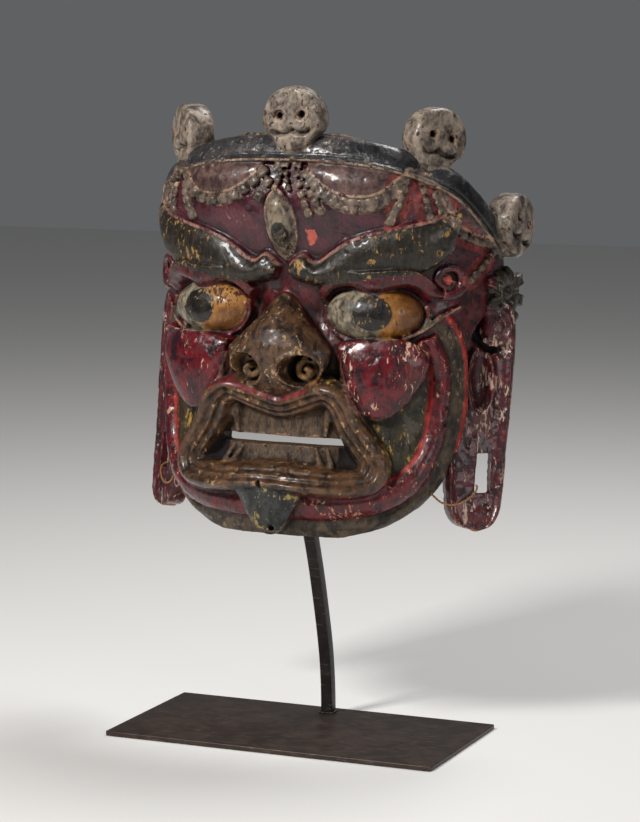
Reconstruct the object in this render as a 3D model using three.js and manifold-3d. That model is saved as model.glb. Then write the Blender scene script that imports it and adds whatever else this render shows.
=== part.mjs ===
// A carved wooden cham dance mask of a wrathful protector, on a steel display stand.
//
// Millimetres, +Z up. The origin is the centre of the base plate's underside. The mask faces -Y.
// The mask is one carving. Its skin is a bowed shell addressed by (u, z, h): u is the distance
// round the face from its middle, z the height, and h how far a point stands proud of the shell.
import * as THREE from 'three';
import { mergeVertices } from 'three/addons/utils/BufferGeometryUtils.js';
import Module from 'manifold-3d';

const wasm = await Module();
wasm.setup();

// ---- driving dimensions -------------------------------------------------------------------
const PLATE = { width: 350, depth: 180, thickness: 5 };
const BAR = { side: 12, footY: 70.8 };
const GAP = 0.3; // clearance between pieces that touch
const FACE_TURN = THREE.MathUtils.degToRad(-2); // the mask sits slightly turned on its bar
const TABLE = PLATE.thickness; // heights below are measured from the plate's top face

const SHELL = {
  wall: 18, // thickness of the carved wood
  axisY: 110, // the shell is bowed round a vertical axis this far behind the plate's middle
  wrap: 150, // u of one radian round that axis
  squareness: 2.6, // exponent of the plan's superellipse
  backPoint: new THREE.Vector3(0, 130, 400), // the rim is planed towards this point
};
const BURIED = -11; // raised carving is rooted this deep in the wall

// Stations are [height, value] pairs, from the chin up.
const FRONT_Y = [
  [200, -48], [220, -57], [245, -59], [275, -52], [305, -42], [340, -37], [375, -34], [440, -31],
  [475, -30], [505, -37], [535, -43], [560, -38], [580, -24], [600, -14],
];
const HALF_WIDTH = [
  [200, 138], [220, 152], [245, 163], [275, 170], [305, 175], [375, 178], [480, 178], [520, 176],
  [550, 170], [580, 156], [600, 140],
];
// Half of the face's width along u, from the chin, past the jaw and temples, to the crown.
const HALF_SPAN = [
  [206, 58], [210, 78], [217, 103], [234, 130], [258, 149], [288, 161], [322, 168], [375, 176],
  [405, 200], [440, 226], [487, 228], [529, 199], [562, 167], [582, 114], [590, 62],
];
// Shallow hollows of the shell on either side: [u, z, reach along u, reach along z, depth].
const HOLLOWS = [
  [48, 430, 26, 24, 12], // the eye socket, beside the nose
  [120, 216, 30, 26, 8], // the flank of the jaw
  [62, 352, 30, 34, 5], // under the cheek
];
const SHELL_GRID = { across: 24, up: 18, evenness: 0.35 };
// The hollow inside, which runs out at the back.
const BOWL = { uHalf: 1.56 * SHELL.wrap, zLow: 150, zHigh: 660, backY: 330, across: 14, up: 9 };

const MOUTH_SLIT = { width: 130, height: 8, z: 299, fromY: -110, toY: 0 };
const EYE = { u: 90, z: 426, sunk: 9, radii: [48, 27, 26] };
const NOSTRIL = { u: 23, z: 370, h: 27, radii: [15, 15, 24] };
const THIRD_EYE = { u: -2, z: 510, radii: [15, 33, 14] };

// Where the skulls stand behind the crown band: [u, z, sideways lean in degrees].
const SKULL_SEATS = [[6, 612, -4], [149, 592, 14], [-149, 592, -14], [226, 506, 24], [-226, 506, -24]];
const SKULL = { depth: 20, edge: 4, sunk: 3.5 };
const SKULL_EYE = { apart: 23, up: 3, radius: 4.2, depth: 14 };

// Where the ears stand, and how the long flat lobes are turned and lean, in degrees.
const EAR = { x: 161, y: 45, z: 250, turn: 38, leanBack: 7, leanIn: 3, depth: 14, edge: 3 };
// The slot's corners and the two hollows in the ear's own plane: across it, and up.
const EAR_SLOT = [[4, 245], [20, 245], [21, 284], [6, 284]];
const EAR_HOLLOWS = [
  { at: [10, 360, 19], radii: [8, 27, 9] },
  { at: [8, 400, 18], radii: [9, 12, 8] },
];
const ROSETTE = { u: 221, z: 439, sunk: 10, reach: 24, waviness: 3, lobes: 6, depth: 14, edge: 7 };
const CURL = { u: 150, z: 457, radius: 9, thickness: 9 };
const TIE = { diameter: 2.4, sides: 8 };

const COLOURS = { lacquer: 0x5a1a1c, steel: 0x2b2623, plate: 0x3a302b, twine: 0x9a6f3d };

// ---- the shell's own coordinates -------------------------------------------------------------
// The value at a height, read between stations.
function along(stations, at) {
  const last = stations.length - 1;
  if (at <= stations[0][0]) return stations[0][1];
  if (at >= stations[last][0]) return stations[last][1];
  const i = stations.findIndex((station) => station[0] > at) - 1;
  const [x0, y0] = stations[i];
  const [x1, y1] = stations[i + 1];
  return THREE.MathUtils.lerp(y0, y1, (at - x0) / (x1 - x0));
}

// A point on the mask from its distance round the face, its height and its relief.
function skin(u, z, h = 0) {
  const angle = u / SHELL.wrap;
  const reach = SHELL.axisY - along(FRONT_Y, z);
  const half = along(HALF_WIDTH, z);
  const n = SHELL.squareness;
  const forward = (Math.abs(Math.cos(angle)) / reach) ** n;
  const sideways = (Math.abs(Math.sin(angle)) / half) ** n;
  const radius = (forward + sideways) ** (-1 / n) + h;
  const y = SHELL.axisY - radius * Math.cos(angle);
  return new THREE.Vector3(radius * Math.sin(angle), y, z + TABLE);
}

// A smooth open or closed line through [u, z] or [u, z, h] points, mirrored when side is -1.
function lineOf(points, side = 1, closed = false) {
  const knots = points.map(([u, z, h = 0]) => new THREE.Vector3(side * u, z, h));
  return new THREE.CatmullRomCurve3(knots, closed, 'centripetal');
}

// ---- solids ----------------------------------------------------------------------------------
// Six times the volume inside a triangle list, signed by the way its faces point.
function signedVolume(position, index) {
  const corner = (k) => new THREE.Vector3().fromBufferAttribute(position, index.getX(k));
  let sum = 0;
  for (let k = 0; k < index.count; k += 3) {
    sum += corner(k).dot(corner(k + 1).cross(corner(k + 2)));
  }
  return sum;
}

// A manifold solid from a closed geometry, turned the right way out.
function solidOf(geometry) {
  const bare = geometry.clone();
  bare.deleteAttribute('normal');
  bare.deleteAttribute('uv');
  const merged = mergeVertices(bare, 1e-4);
  const index = merged.getIndex();
  const triVerts = Uint32Array.from(index.array);
  if (signedVolume(merged.getAttribute('position'), index) < 0) triVerts.reverse();
  const vertProperties = new Float32Array(merged.getAttribute('position').array);
  return new wasm.Manifold(new wasm.Mesh({ numProp: 3, vertProperties, triVerts }));
}

function geometryOf(solid) {
  const mesh = solid.getMesh();
  const geometry = new THREE.BufferGeometry();
  const positions = Float32Array.from(mesh.vertProperties);
  geometry.setAttribute('position', new THREE.BufferAttribute(positions, 3));
  geometry.setIndex(new THREE.BufferAttribute(Uint32Array.from(mesh.triVerts), 1));
  geometry.computeVertexNormals();
  return geometry;
}

function geometryFrom(points, triangles) {
  const geometry = new THREE.BufferGeometry().setFromPoints(points);
  geometry.setIndex(triangles);
  return geometry;
}

// The two triangles of each cell of a grid of rows, closed round when wrapped.
function gridTriangles(rows, columns, start, wrapped = false) {
  const triangles = [];
  const steps = wrapped ? columns : columns - 1;
  for (let i = 0; i < rows - 1; i += 1) {
    for (let j = 0; j < steps; j += 1) {
      const next = (j + 1) % columns;
      const a = start + i * columns + j;
      const b = start + i * columns + next;
      const c = start + (i + 1) * columns + j;
      const d = start + (i + 1) * columns + next;
      triangles.push(a, b, d, a, d, c);
    }
  }
  return triangles;
}

// The border of a grid of rows, as a loop of indices.
function gridBorder(rows, columns) {
  const loop = [];
  for (let j = 0; j < columns; j += 1) loop.push(j);
  for (let i = 1; i < rows; i += 1) loop.push(i * columns + columns - 1);
  for (let j = columns - 2; j >= 0; j -= 1) loop.push((rows - 1) * columns + j);
  for (let i = rows - 2; i > 0; i -= 1) loop.push(i * columns);
  return loop;
}

// A closed solid between a front grid and a back grid of the same size.
function slab(front, back) {
  const rows = front.length;
  const columns = front[0].length;
  const points = [...front.flat(), ...back.flat()];
  const offset = rows * columns;
  const faces = gridTriangles(rows, columns, 0);
  const behind = gridTriangles(rows, columns, offset);
  for (let k = 0; k < behind.length; k += 3) faces.push(behind[k], behind[k + 2], behind[k + 1]);
  const loop = gridBorder(rows, columns);
  loop.forEach((a, k) => {
    const b = loop[(k + 1) % loop.length];
    faces.push(b, a, a + offset, b, a + offset, b + offset);
  });
  return solidOf(geometryFrom(points, faces));
}

// A closed solid through a list of closed sections, joined end to end or capped at both ends.
function loft(sections, joined = false) {
  const columns = sections[0].length;
  const rings = joined ? [...sections, sections[0]] : sections;
  const points = rings.flat();
  const faces = gridTriangles(rings.length, columns, 0, true);
  if (!joined) {
    const last = (rings.length - 1) * columns;
    for (let j = 1; j < columns - 1; j += 1) {
      faces.push(0, j + 1, j, last, last + j, last + j + 1);
    }
  }
  return solidOf(geometryFrom(points, faces));
}

// Raised carving between a lower and an upper edge line. The relief runs over t, from the lower
// edge (0) to the upper edge (1), and over s, along the piece.
function pad({ lower, upper, side = 1, relief, along: steps = 14, across = 6 }) {
  const low = lineOf(lower, side);
  const high = lineOf(upper, side);
  const rowOf = (s, raised) => {
    const row = [];
    const from = low.getPoint(s);
    const to = high.getPoint(s);
    for (let j = 0; j <= across; j += 1) {
      const t = j / across;
      const at = from.clone().lerp(to, t);
      row.push(skin(at.x, at.y, raised ? relief(s, t) : BURIED));
    }
    return row;
  };
  const stations = Array.from({ length: steps + 1 }, (_, i) => i / steps);
  return slab(stations.map((s) => rowOf(s, true)), stations.map((s) => rowOf(s, false)));
}

// A moulding carried along a line on the skin. The profile is a closed list of
// [distance to the line's left, relief] pairs; the line's own third value lifts it.
function moulding(line, profile, steps, joined = false) {
  const count = joined ? steps : steps + 1;
  const sections = [];
  for (let i = 0; i < count; i += 1) {
    const s = i / steps;
    const at = line.getPoint(s);
    const tangent = line.getTangent(s);
    const left = new THREE.Vector2(-tangent.y, tangent.x).normalize();
    sections.push(profile.map(([aside, h]) => {
      const lift = h > BURIED ? at.z : 0;
      return skin(at.x + left.x * aside, at.y + left.y * aside, h + lift);
    }));
  }
  return loft(sections, joined);
}

// An ellipsoid whose axes follow the skin at (u, z): along the face, up, and out of it.
function egg(u, z, h, radii, detail = [14, 9]) {
  const geometry = new THREE.SphereGeometry(1, detail[0], detail[1]);
  geometry.scale(radii[0], radii[2], radii[1]);
  geometry.rotateZ(u / SHELL.wrap);
  const at = skin(u, z, h);
  geometry.translate(at.x, at.y, at.z);
  return solidOf(geometry);
}

function mirrored(make) {
  return [make(1), make(-1)];
}

// A rounded swelling, 0 at both ends and 1 in the middle, with a blunt or a sharp top.
const swell = (t, power = 0.5) => Math.sin(Math.PI * THREE.MathUtils.clamp(t, 0, 1)) ** power;

// ---- the carving -----------------------------------------------------------------------------
function shellBlock() {
  const front = [];
  const zLow = HALF_SPAN[0][0];
  const zHigh = HALF_SPAN[HALF_SPAN.length - 1][0];
  for (let i = 0; i <= SHELL_GRID.up; i += 1) {
    const even = i / SHELL_GRID.up;
    const eased = 0.5 - 0.5 * Math.cos(Math.PI * even);
    const t = THREE.MathUtils.lerp(eased, even, SHELL_GRID.evenness);
    const z = THREE.MathUtils.lerp(zLow, zHigh, t);
    const half = along(HALF_SPAN, z);
    const row = [];
    for (let j = 0; j <= SHELL_GRID.across; j += 1) {
      const u = half * (2 * (j / SHELL_GRID.across) - 1);
      row.push(skin(u, z, shellRelief(u, z)));
    }
    front.push(row);
  }
  const rows = front.length;
  const columns = front[0].length;
  const points = [...front.flat(), SHELL.backPoint.clone()];
  const hub = rows * columns;
  const faces = gridTriangles(rows, columns, 0);
  const loop = gridBorder(rows, columns);
  loop.forEach((a, k) => faces.push(loop[(k + 1) % loop.length], a, hub));
  return solidOf(geometryFrom(points, faces));
}

// How far the hollows set the shell back at a place on it.
function shellRelief(u, z) {
  return HOLLOWS.reduce((h, [cu, cz, ru, rz, depth]) => (
    h - depth * Math.exp(-(((Math.abs(u) - cu) / ru) ** 2) - ((z - cz) / rz) ** 2)), 0);
}

function bowl() {
  const inner = [];
  const outer = [];
  for (let i = 0; i <= BOWL.up; i += 1) {
    const z = THREE.MathUtils.lerp(BOWL.zLow, BOWL.zHigh, i / BOWL.up);
    const near = [];
    const far = [];
    for (let j = 0; j <= BOWL.across; j += 1) {
      const u = BOWL.uHalf * (2 * (j / BOWL.across) - 1);
      const at = skin(u, z, -SHELL.wall);
      near.push(at);
      far.push(new THREE.Vector3(at.x, BOWL.backY, at.z));
    }
    inner.push(near);
    outer.push(far);
  }
  return slab(inner, outer);
}

// The brows run from beside the third eye up to the temples.
function brows() {
  const lower = [[11, 461], [28, 453], [60, 456], [95, 463], [128, 467], [147, 480], [157, 504]];
  const upper = [[6, 473], [20, 481], [34, 475], [68, 495], [106, 508], [132, 515], [159, 526]];
  const relief = (s, t) => 4 + (8 - 3 * s) * swell(t, 0.6) + 4 * (1 - t) * swell(s);
  return mirrored((side) => pad({ lower, upper, side, relief, along: 11, across: 4 }));
}

// Each eye is a globe under a straight upper lid.
function eyes() {
  const lidLow = [[64, 449], [74, 445], [88, 442], [100, 446], [110, 450]];
  const lidHigh = [[64, 461], [75, 463], [88, 463], [102, 463], [113, 462]];
  return mirrored((side) => egg(side * EYE.u, EYE.z, -EYE.sunk, EYE.radii, [14, 8])
    .add(pad({ lower: lidLow, upper: lidHigh, side, relief: () => 15, along: 4, across: 2 })));
}

function cheeks() {
  const lower = [[58, 386], [62, 360], [72, 334], [90, 325], [110, 337], [127, 362], [131, 380]];
  const upper = [[58, 397], [68, 400], [80, 402], [92, 403], [104, 403], [116, 400], [131, 388]];
  const relief = (s, t) => 4 + 16 * swell(0.12 + 0.8 * t, 0.6) * swell(0.1 + 0.8 * s, 0.5);
  return mirrored((side) => pad({ lower, upper, side, relief, along: 9, across: 5 }));
}

// The nose is a blunt diamond: a ridge over two flat faces that end in a pointed wing each side.
function nose() {
  const stations = [
    // z, half width, height of the ridge, height of the wings
    [441, 9, 7, 2], [426, 18, 24, 6], [409, 32, 38, 12], [390, 48, 42, 19], [374, 44, 40, 20],
    [360, 32, 35, 20], [349, 16, 26, 16],
  ];
  const row = ([z, half, ridge, wing], buried) => {
    const across = 8;
    return Array.from({ length: across + 1 }, (_, j) => {
      const t = 2 * (j / across) - 1;
      const h = THREE.MathUtils.lerp(ridge, wing, Math.abs(t) ** 1.25);
      return skin(half * t, z, buried ? BURIED : h);
    });
  };
  let block = slab(stations.map((s) => row(s, false)), stations.map((s) => row(s, true)));
  for (const side of [1, -1]) {
    const { u, z, h, radii } = NOSTRIL;
    block = block.subtract(egg(side * u, z, h, radii, [10, 6]));
  }
  return block;
}

// The lips are one ring whose crest rises and falls round the mouth.
function lips() {
  const crest = [
    [0, 334, 15], [24, 341, 22], [46, 349, 31], [58, 340, 31], [67, 318, 25], [80, 296, 20],
    [87, 281, 18], [82, 266, 18], [60, 262, 26], [30, 264, 34], [0, 266, 35],
  ];
  const back = crest.slice(1, -1).reverse().map(([u, z, h]) => [-u, z, h]);
  const ring = lineOf([...crest, ...back], 1, true);
  const profile = [
    [14, BURIED], [13, -10], [9, -3], [3, 0], [-4, -3], [-8, -13], [-13, -16], [-16, BURIED],
  ];
  return moulding(ring, profile, 32, true);
}

// The rolled edge that runs down each cheek and under the lips.
function jawRoll() {
  const half = [
    [133, 402], [144, 372], [143, 335], [136, 298], [120, 265], [94, 246], [56, 236], [0, 231],
  ];
  const other = half.slice(0, -1).reverse().map(([u, z]) => [-u, z]);
  const profile = [[10, BURIED], [10, 1], [5, 8], [0, 10], [-5, 8], [-10, 1], [-10, BURIED]];
  return moulding(lineOf([...half, ...other]), profile, 28);
}

function goatee() {
  const lower = [[-26, 244], [-17, 227], [-8, 213], [0, 209], [8, 213], [17, 227], [26, 244]];
  const upper = [[-27, 257], [-18, 260], [-9, 261], [0, 261], [9, 261], [18, 260], [27, 257]];
  const relief = (s, t) => 15 + 13 * t + 4 * swell(s);
  return pad({ lower, upper, relief, along: 6, across: 2 });
}

function crownBand() {
  const half = [[0, 583], [50, 582], [92, 577], [128, 565], [160, 546], [188, 516], [214, 484]];
  const other = half.slice(1).reverse().map(([u, z]) => [-u, z]);
  const profile = [
    [-11, -8], [-11, 4], [-7, 6], [-4, 8], [4, 9], [9, 7], [11, 3], [13, 1], [13, -14],
  ];
  return moulding(lineOf([...other, ...half]), profile, 26);
}

function swags() {
  const centre = {
    lower: [[26, 566], [38, 552], [62, 540], [88, 541], [104, 553], [116, 564]],
    upper: [[26, 569], [44, 571], [62, 571], [84, 570], [102, 568], [116, 565]],
  };
  const temple = {
    lower: [[140, 545], [148, 524], [162, 507], [182, 497], [200, 492], [210, 487]],
    upper: [[140, 549], [157, 538], [172, 525], [186, 511], [198, 500], [210, 489]],
  };
  const relief = (s, t) => 3 + 5 * swell(t) * swell(s, 0.4);
  return [centre, temple].flatMap((edges) => mirrored((side) => (
    pad({ ...edges, side, relief, along: 6, across: 2 }))));
}

function thirdEye() {
  return egg(THIRD_EYE.u, THIRD_EYE.z, 0, THIRD_EYE.radii, [12, 8]);
}

// A slab cut to an outline, with a chamfered edge kept inside the outline.
function slabFrom(outline, depth, edge, curveSegments) {
  return new THREE.ExtrudeGeometry(outline, {
    depth, curveSegments, bevelThickness: edge, bevelSize: edge, bevelOffset: -edge, bevelSegments: 1,
  });
}

// A skull is a thick upright disc with a domed crown, a flat chin and two drilled eyes.
function skull([u, z, lean]) {
  const outline = new THREE.Shape();
  outline.moveTo(-17, -30);
  outline.bezierCurveTo(-26, -27, -32, -16, -32, -3);
  outline.bezierCurveTo(-32, 19, -19, 31, 0, 31);
  outline.bezierCurveTo(19, 31, 32, 19, 32, -3);
  outline.bezierCurveTo(32, -16, 26, -27, 17, -30);
  outline.lineTo(-17, -30);
  let block = solidOf(slabFrom(outline, SKULL.depth, SKULL.edge, 3));
  for (const side of [1, -1]) {
    const socket = new THREE.CylinderGeometry(SKULL_EYE.radius, SKULL_EYE.radius, SKULL_EYE.depth, 8);
    socket.rotateX(Math.PI / 2);
    socket.translate((side * SKULL_EYE.apart) / 2, SKULL_EYE.up, SKULL.depth + SKULL.edge);
    block = block.subtract(solidOf(socket));
  }
  const placed = geometryOf(block);
  placed.rotateX(Math.PI / 2);
  placed.rotateY(THREE.MathUtils.degToRad(lean));
  placed.rotateZ(u / SHELL.wrap);
  const at = skin(u, z, -SKULL.sunk);
  placed.translate(at.x, at.y, at.z);
  return solidOf(placed);
}

// An ear is a long flat lobe with a scroll at the top, a slot in the lobe and a groove between.
function ear(side) {
  const outline = new THREE.Shape();
  outline.moveTo(-24, 300);
  outline.bezierCurveTo(-20, 270, -25, 250, -24, 236);
  outline.bezierCurveTo(-22, 216, -8, 206, 6, 207);
  outline.bezierCurveTo(24, 209, 33, 232, 34, 258);
  outline.bezierCurveTo(38, 300, 44, 350, 45, 392);
  outline.bezierCurveTo(46, 425, 36, 442, 20, 440);
  outline.bezierCurveTo(4, 438, -10, 420, -20, 396);
  outline.lineTo(-24, 300);
  outline.holes.push(new THREE.Path(EAR_SLOT.map(([a, b]) => new THREE.Vector2(a, b))));
  let block = solidOf(slabFrom(outline, EAR.depth, EAR.edge, 4));
  for (const { at, radii } of EAR_HOLLOWS) {
    const hollow = new THREE.SphereGeometry(1, 10, 6);
    hollow.scale(...radii);
    hollow.translate(...at);
    block = block.subtract(solidOf(hollow));
  }
  const placed = geometryOf(block);
  placed.rotateX(Math.PI / 2);
  placed.translate(0, 0, -EAR.z);
  placed.rotateZ(THREE.MathUtils.degToRad(EAR.turn));
  placed.rotateX(THREE.MathUtils.degToRad(-EAR.leanBack));
  placed.rotateY(THREE.MathUtils.degToRad(-EAR.leanIn));
  placed.translate(EAR.x, EAR.y, EAR.z + TABLE);
  if (side < 0) placed.scale(-1, 1, 1);
  return solidOf(placed);
}

// A rosette of blunt leaves standing at the temple's edge.
function leafCluster(side) {
  const pointsRound = 4 * ROSETTE.lobes;
  const outline = new THREE.Shape(Array.from({ length: pointsRound }, (_, k) => {
    const angle = (2 * Math.PI * k) / pointsRound;
    const reach = ROSETTE.reach + ROSETTE.waviness * Math.cos(ROSETTE.lobes * angle);
    return new THREE.Vector2(reach * Math.cos(angle), 1.1 * reach * Math.sin(angle));
  }));
  const rosette = slabFrom(outline, ROSETTE.depth, ROSETTE.edge, 1);
  rosette.rotateX(Math.PI / 2);
  rosette.rotateZ((side * ROSETTE.u) / SHELL.wrap);
  const at = skin(side * ROSETTE.u, ROSETTE.z, -ROSETTE.sunk);
  rosette.translate(at.x, at.y, at.z);
  return solidOf(rosette);
}

// Leaves and a curl at the temple, above the ear.
function templeCarving(side) {
  const curl = new THREE.TorusGeometry(CURL.radius, CURL.thickness / 2, 5, 10);
  curl.rotateX(Math.PI / 2);
  curl.rotateZ((side * CURL.u) / SHELL.wrap);
  const at = skin(side * CURL.u, CURL.z, 1);
  curl.translate(at.x, at.y, at.z);
  return leafCluster(side).add(solidOf(curl));
}

function mouthSlit() {
  const length = MOUTH_SLIT.toY - MOUTH_SLIT.fromY;
  const slit = new THREE.BoxGeometry(MOUTH_SLIT.width, length, MOUTH_SLIT.height);
  slit.translate(0, MOUTH_SLIT.fromY + length / 2, MOUTH_SLIT.z + TABLE);
  return solidOf(slit);
}

// ---- the bar -----------------------------------------------------------------------------------
// Upright from the back of the plate, it leans forward under the jaw and bends into the chin.
const BAR_ROUTE = [
  [BAR.footY, GAP], [69.5, 30], [64.5, 66], [51, 118], [35, 168], [20, 205], [3, 234], [-20, 252],
  [-52, 262],
].map(([y, z]) => new THREE.Vector3(0, y, z + TABLE));

function barGeometry(side, extra = 0) {
  const half = side / 2;
  const section = new THREE.Shape([
    new THREE.Vector2(-half, -half), new THREE.Vector2(half, -half),
    new THREE.Vector2(half, half), new THREE.Vector2(-half, half),
  ]);
  const last = BAR_ROUTE[BAR_ROUTE.length - 1];
  const before = BAR_ROUTE[BAR_ROUTE.length - 2];
  const reach = last.clone().sub(before).normalize().multiplyScalar(extra);
  const route = [...BAR_ROUTE.slice(0, -1), last.clone().add(reach)];
  const path = new THREE.CatmullRomCurve3(route, false, 'centripetal');
  return new THREE.ExtrudeGeometry(section, { steps: 26, extrudePath: path });
}

// ---- the ties ----------------------------------------------------------------------------------
// A twist of fibre from a hole in the jaw's edge to the slot of the ear beside it. Each route is
// in the mask's own frame, heights above the plate.
const TIE_ROUTE = [
  [141, -1, 250], [144.5, 1, 246], [148.5, 4, 241.5], [153.5, 7.5, 238.5], [159, 11.5, 237.5],
  [164.5, 16.5, 238.5], [169.5, 21.5, 241.5], [174, 26.5, 245.5], [178, 31, 250], [181, 35, 255],
];

function tieGeometry(side) {
  const section = new THREE.Shape(Array.from({ length: TIE.sides }, (_, k) => {
    const angle = (2 * Math.PI * k) / TIE.sides;
    return new THREE.Vector2(Math.cos(angle), Math.sin(angle)).multiplyScalar(TIE.diameter / 2);
  }));
  const points = TIE_ROUTE.map(([x, y, z]) => new THREE.Vector3(side * x, y, z + TABLE));
  const path = new THREE.CatmullRomCurve3(points, false, 'centripetal');
  return new THREE.ExtrudeGeometry(section, { steps: 14, extrudePath: path });
}

// ---- assembly ----------------------------------------------------------------------------------
function carveMask() {
  const turned = (geometry) => geometry.rotateZ(-FACE_TURN);
  const onFace = [
    ...brows(), ...eyes(), ...cheeks(), nose(), lips(), jawRoll(), goatee(), ...swags(), thirdEye(),
  ];
  const atRim = [
    crownBand(), ...SKULL_SEATS.map(skull), ...mirrored(ear), ...mirrored(templeCarving),
  ];
  let carving = shellBlock();
  for (const piece of onFace) carving = carving.add(piece);
  carving = carving.subtract(bowl()).subtract(mouthSlit());
  for (const piece of atRim) carving = carving.add(piece);
  const socket = turned(barGeometry(BAR.side + 2 * GAP, GAP));
  carving = carving.subtract(solidOf(socket));
  return geometryOf(carving);
}

function named(name, geometry, colour, roughness, metalness) {
  const material = new THREE.MeshStandardMaterial({ color: colour, roughness, metalness });
  const mesh = new THREE.Mesh(geometry, material);
  mesh.name = name;
  return mesh;
}

const face = new THREE.Group();
face.rotation.z = FACE_TURN;
face.add(named('mask', carveMask(), COLOURS.lacquer, 0.45, 0));
face.add(named('ear_tie_right', tieGeometry(1), COLOURS.twine, 0.9, 0));
face.add(named('ear_tie_left', tieGeometry(-1), COLOURS.twine, 0.9, 0));

const plate = new THREE.BoxGeometry(PLATE.width, PLATE.depth, PLATE.thickness);
plate.translate(0, 0, PLATE.thickness / 2);

const assembly = new THREE.Group();
assembly.add(face);
assembly.add(named('stand_bar', barGeometry(BAR.side), COLOURS.steel, 0.5, 0.8));
assembly.add(named('base_plate', plate, COLOURS.plate, 0.55, 0.7));

export default assembly;
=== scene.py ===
"""A carved wooden cham dance mask on its steel stand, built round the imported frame.

The mask is one carving. Its solids are worked out in millimetres on a bowed skin, joined into one
body, cut, weathered and painted. The last step of each piece turns millimetres into metres.
"""
import logging
import math
from dataclasses import dataclass, field
from enum import Enum
from functools import reduce
from typing import Callable, Iterable, Protocol, Sequence

import bmesh
import bpy
import numpy as np
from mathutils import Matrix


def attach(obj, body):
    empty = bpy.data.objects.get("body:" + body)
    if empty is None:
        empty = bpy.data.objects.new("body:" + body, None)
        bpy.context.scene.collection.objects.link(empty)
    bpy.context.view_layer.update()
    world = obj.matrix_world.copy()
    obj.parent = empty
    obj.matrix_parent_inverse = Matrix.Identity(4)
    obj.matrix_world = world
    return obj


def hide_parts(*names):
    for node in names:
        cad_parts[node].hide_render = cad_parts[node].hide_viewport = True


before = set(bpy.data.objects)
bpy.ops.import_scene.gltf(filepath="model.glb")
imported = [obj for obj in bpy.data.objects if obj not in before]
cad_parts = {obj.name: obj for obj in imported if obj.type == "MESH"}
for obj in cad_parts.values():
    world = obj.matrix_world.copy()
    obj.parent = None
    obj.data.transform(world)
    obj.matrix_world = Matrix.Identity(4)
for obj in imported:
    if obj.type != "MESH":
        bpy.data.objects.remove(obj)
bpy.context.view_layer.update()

Array = np.ndarray
Pair = tuple[float, float]
Triple = tuple[float, float, float]
Points = Sequence[Sequence[float]]
Relief = Callable[[Array, Array, Array, Array], Array]
Piece = bpy.types.Object
Group = bpy.types.NodeTree
Finish = bpy.types.Material
logging.basicConfig(level=logging.INFO, format="%(message)s")
log = logging.getLogger("mask")

MM = 0.001
ROOT = -11.0  # raised carving is rooted this deep in the wood, in mm
FAR = -20.0  # a zone's value well away from it, in mm
NOWHERE = -99.0  # a zone's value before anything is measured
SIDES = (1, -1)


# ---- lines, tables and noise

def curve(points: Points, count: int, closed: bool = False) -> Array:
    """A smooth line through the points: a centripetal Catmull-Rom, resampled at even lengths.

    Args:
        points: the points it passes through, of any dimension.
        count: how many points come back.
        closed: whether the last point joins the first.

    Returns:
        An array of count points.
    """
    p = np.asarray(points, float)
    ends = (p[-1:], p[:2]) if closed else (2 * p[:1] - p[1:2], 2 * p[-1:] - p[-2:-1])
    p = np.vstack([ends[0], p, ends[1]])
    gap = np.maximum(np.linalg.norm(np.diff(p, axis=0), axis=1), 1e-9) ** 0.5
    fine = np.linspace(0, len(p) - 3, 24 * len(p))
    i = np.minimum(fine.astype(int), len(p) - 4)
    t = (fine - i)[:, None]
    a, b, c, d = p[i], p[i + 1], p[i + 2], p[i + 3]
    g0, g1, g2 = (gap[i + k][:, None] for k in range(3))
    m1 = g1 * ((b - a) / g0 - (c - a) / (g0 + g1) + (c - b) / g1)
    m2 = g1 * ((c - b) / g1 - (d - b) / (g1 + g2) + (d - c) / g2)
    line = (2 * t**3 - 3 * t**2 + 1) * b + (t**3 - 2 * t**2 + t) * m1
    line += (3 * t**2 - 2 * t**3) * c + (t**3 - t**2) * m2
    return resample(line, count, closed)


def resample(line: Array, count: int, closed: bool = False) -> Array:
    """The same line with its points spread at even lengths.

    Args:
        line: the line's points.
        count: how many points come back.
        closed: whether the last point joins the first.

    Returns:
        An array of count points.
    """
    run = np.r_[0, np.cumsum(np.linalg.norm(np.diff(line, axis=0), axis=1))]
    at = np.linspace(0, run[-1], count, endpoint=not closed)
    return np.stack([np.interp(at, run, line[:, k]) for k in range(line.shape[1])], axis=1)


def mirror_half(half: Points) -> list[list[float]]:
    """A line from its right half, which ends on the middle, carried on to the left."""
    right = [list(p) for p in half]
    return right + [[-p[0], *p[1:]] for p in right[-2::-1]]


def soft_table(pairs: Sequence[Pair], blur: float) -> tuple[Array, Array]:
    """Straight lines between (height, value) pairs, blurred by a bell of the given width in mm.

    Args:
        pairs: heights and the value at each.
        blur: the bell's width.

    Returns:
        Heights 1 mm apart, and the value at each.
    """
    at, value = np.asarray(pairs, float).T
    heights = np.arange(at[0] - 60, at[-1] + 61)
    reach = int(3 * blur)
    bell = np.exp(-0.5 * (np.arange(-reach, reach + 1) / blur) ** 2)
    raw = np.pad(np.interp(heights, at, value), reach, mode="edge")
    return heights, np.convolve(raw, bell / bell.sum(), "valid")


def value_noise(xyz: Array, cell: float, seed: int) -> Array:
    """Smooth noise from -1 to 1: random values on a cubic lattice, eased between its corners.

    Args:
        xyz: the points.
        cell: the lattice's step, in the same unit.
        seed: picks the random values.

    Returns:
        One value for each point.
    """
    side = 64
    lattice = np.random.default_rng(seed).uniform(-1, 1, (side, side, side))
    p = xyz / cell
    low = np.floor(p).astype(int)
    t = p - low
    t = t * t * (3 - 2 * t)
    total = np.zeros(len(xyz))
    for corner in range(8):
        step = np.array([corner & 1, corner >> 1 & 1, corner >> 2 & 1])
        weight = np.prod(np.where(step, t, 1 - t), axis=1)
        i, j, k = ((low + step) % side).T
        total += weight * lattice[i, j, k]
    return total


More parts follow.
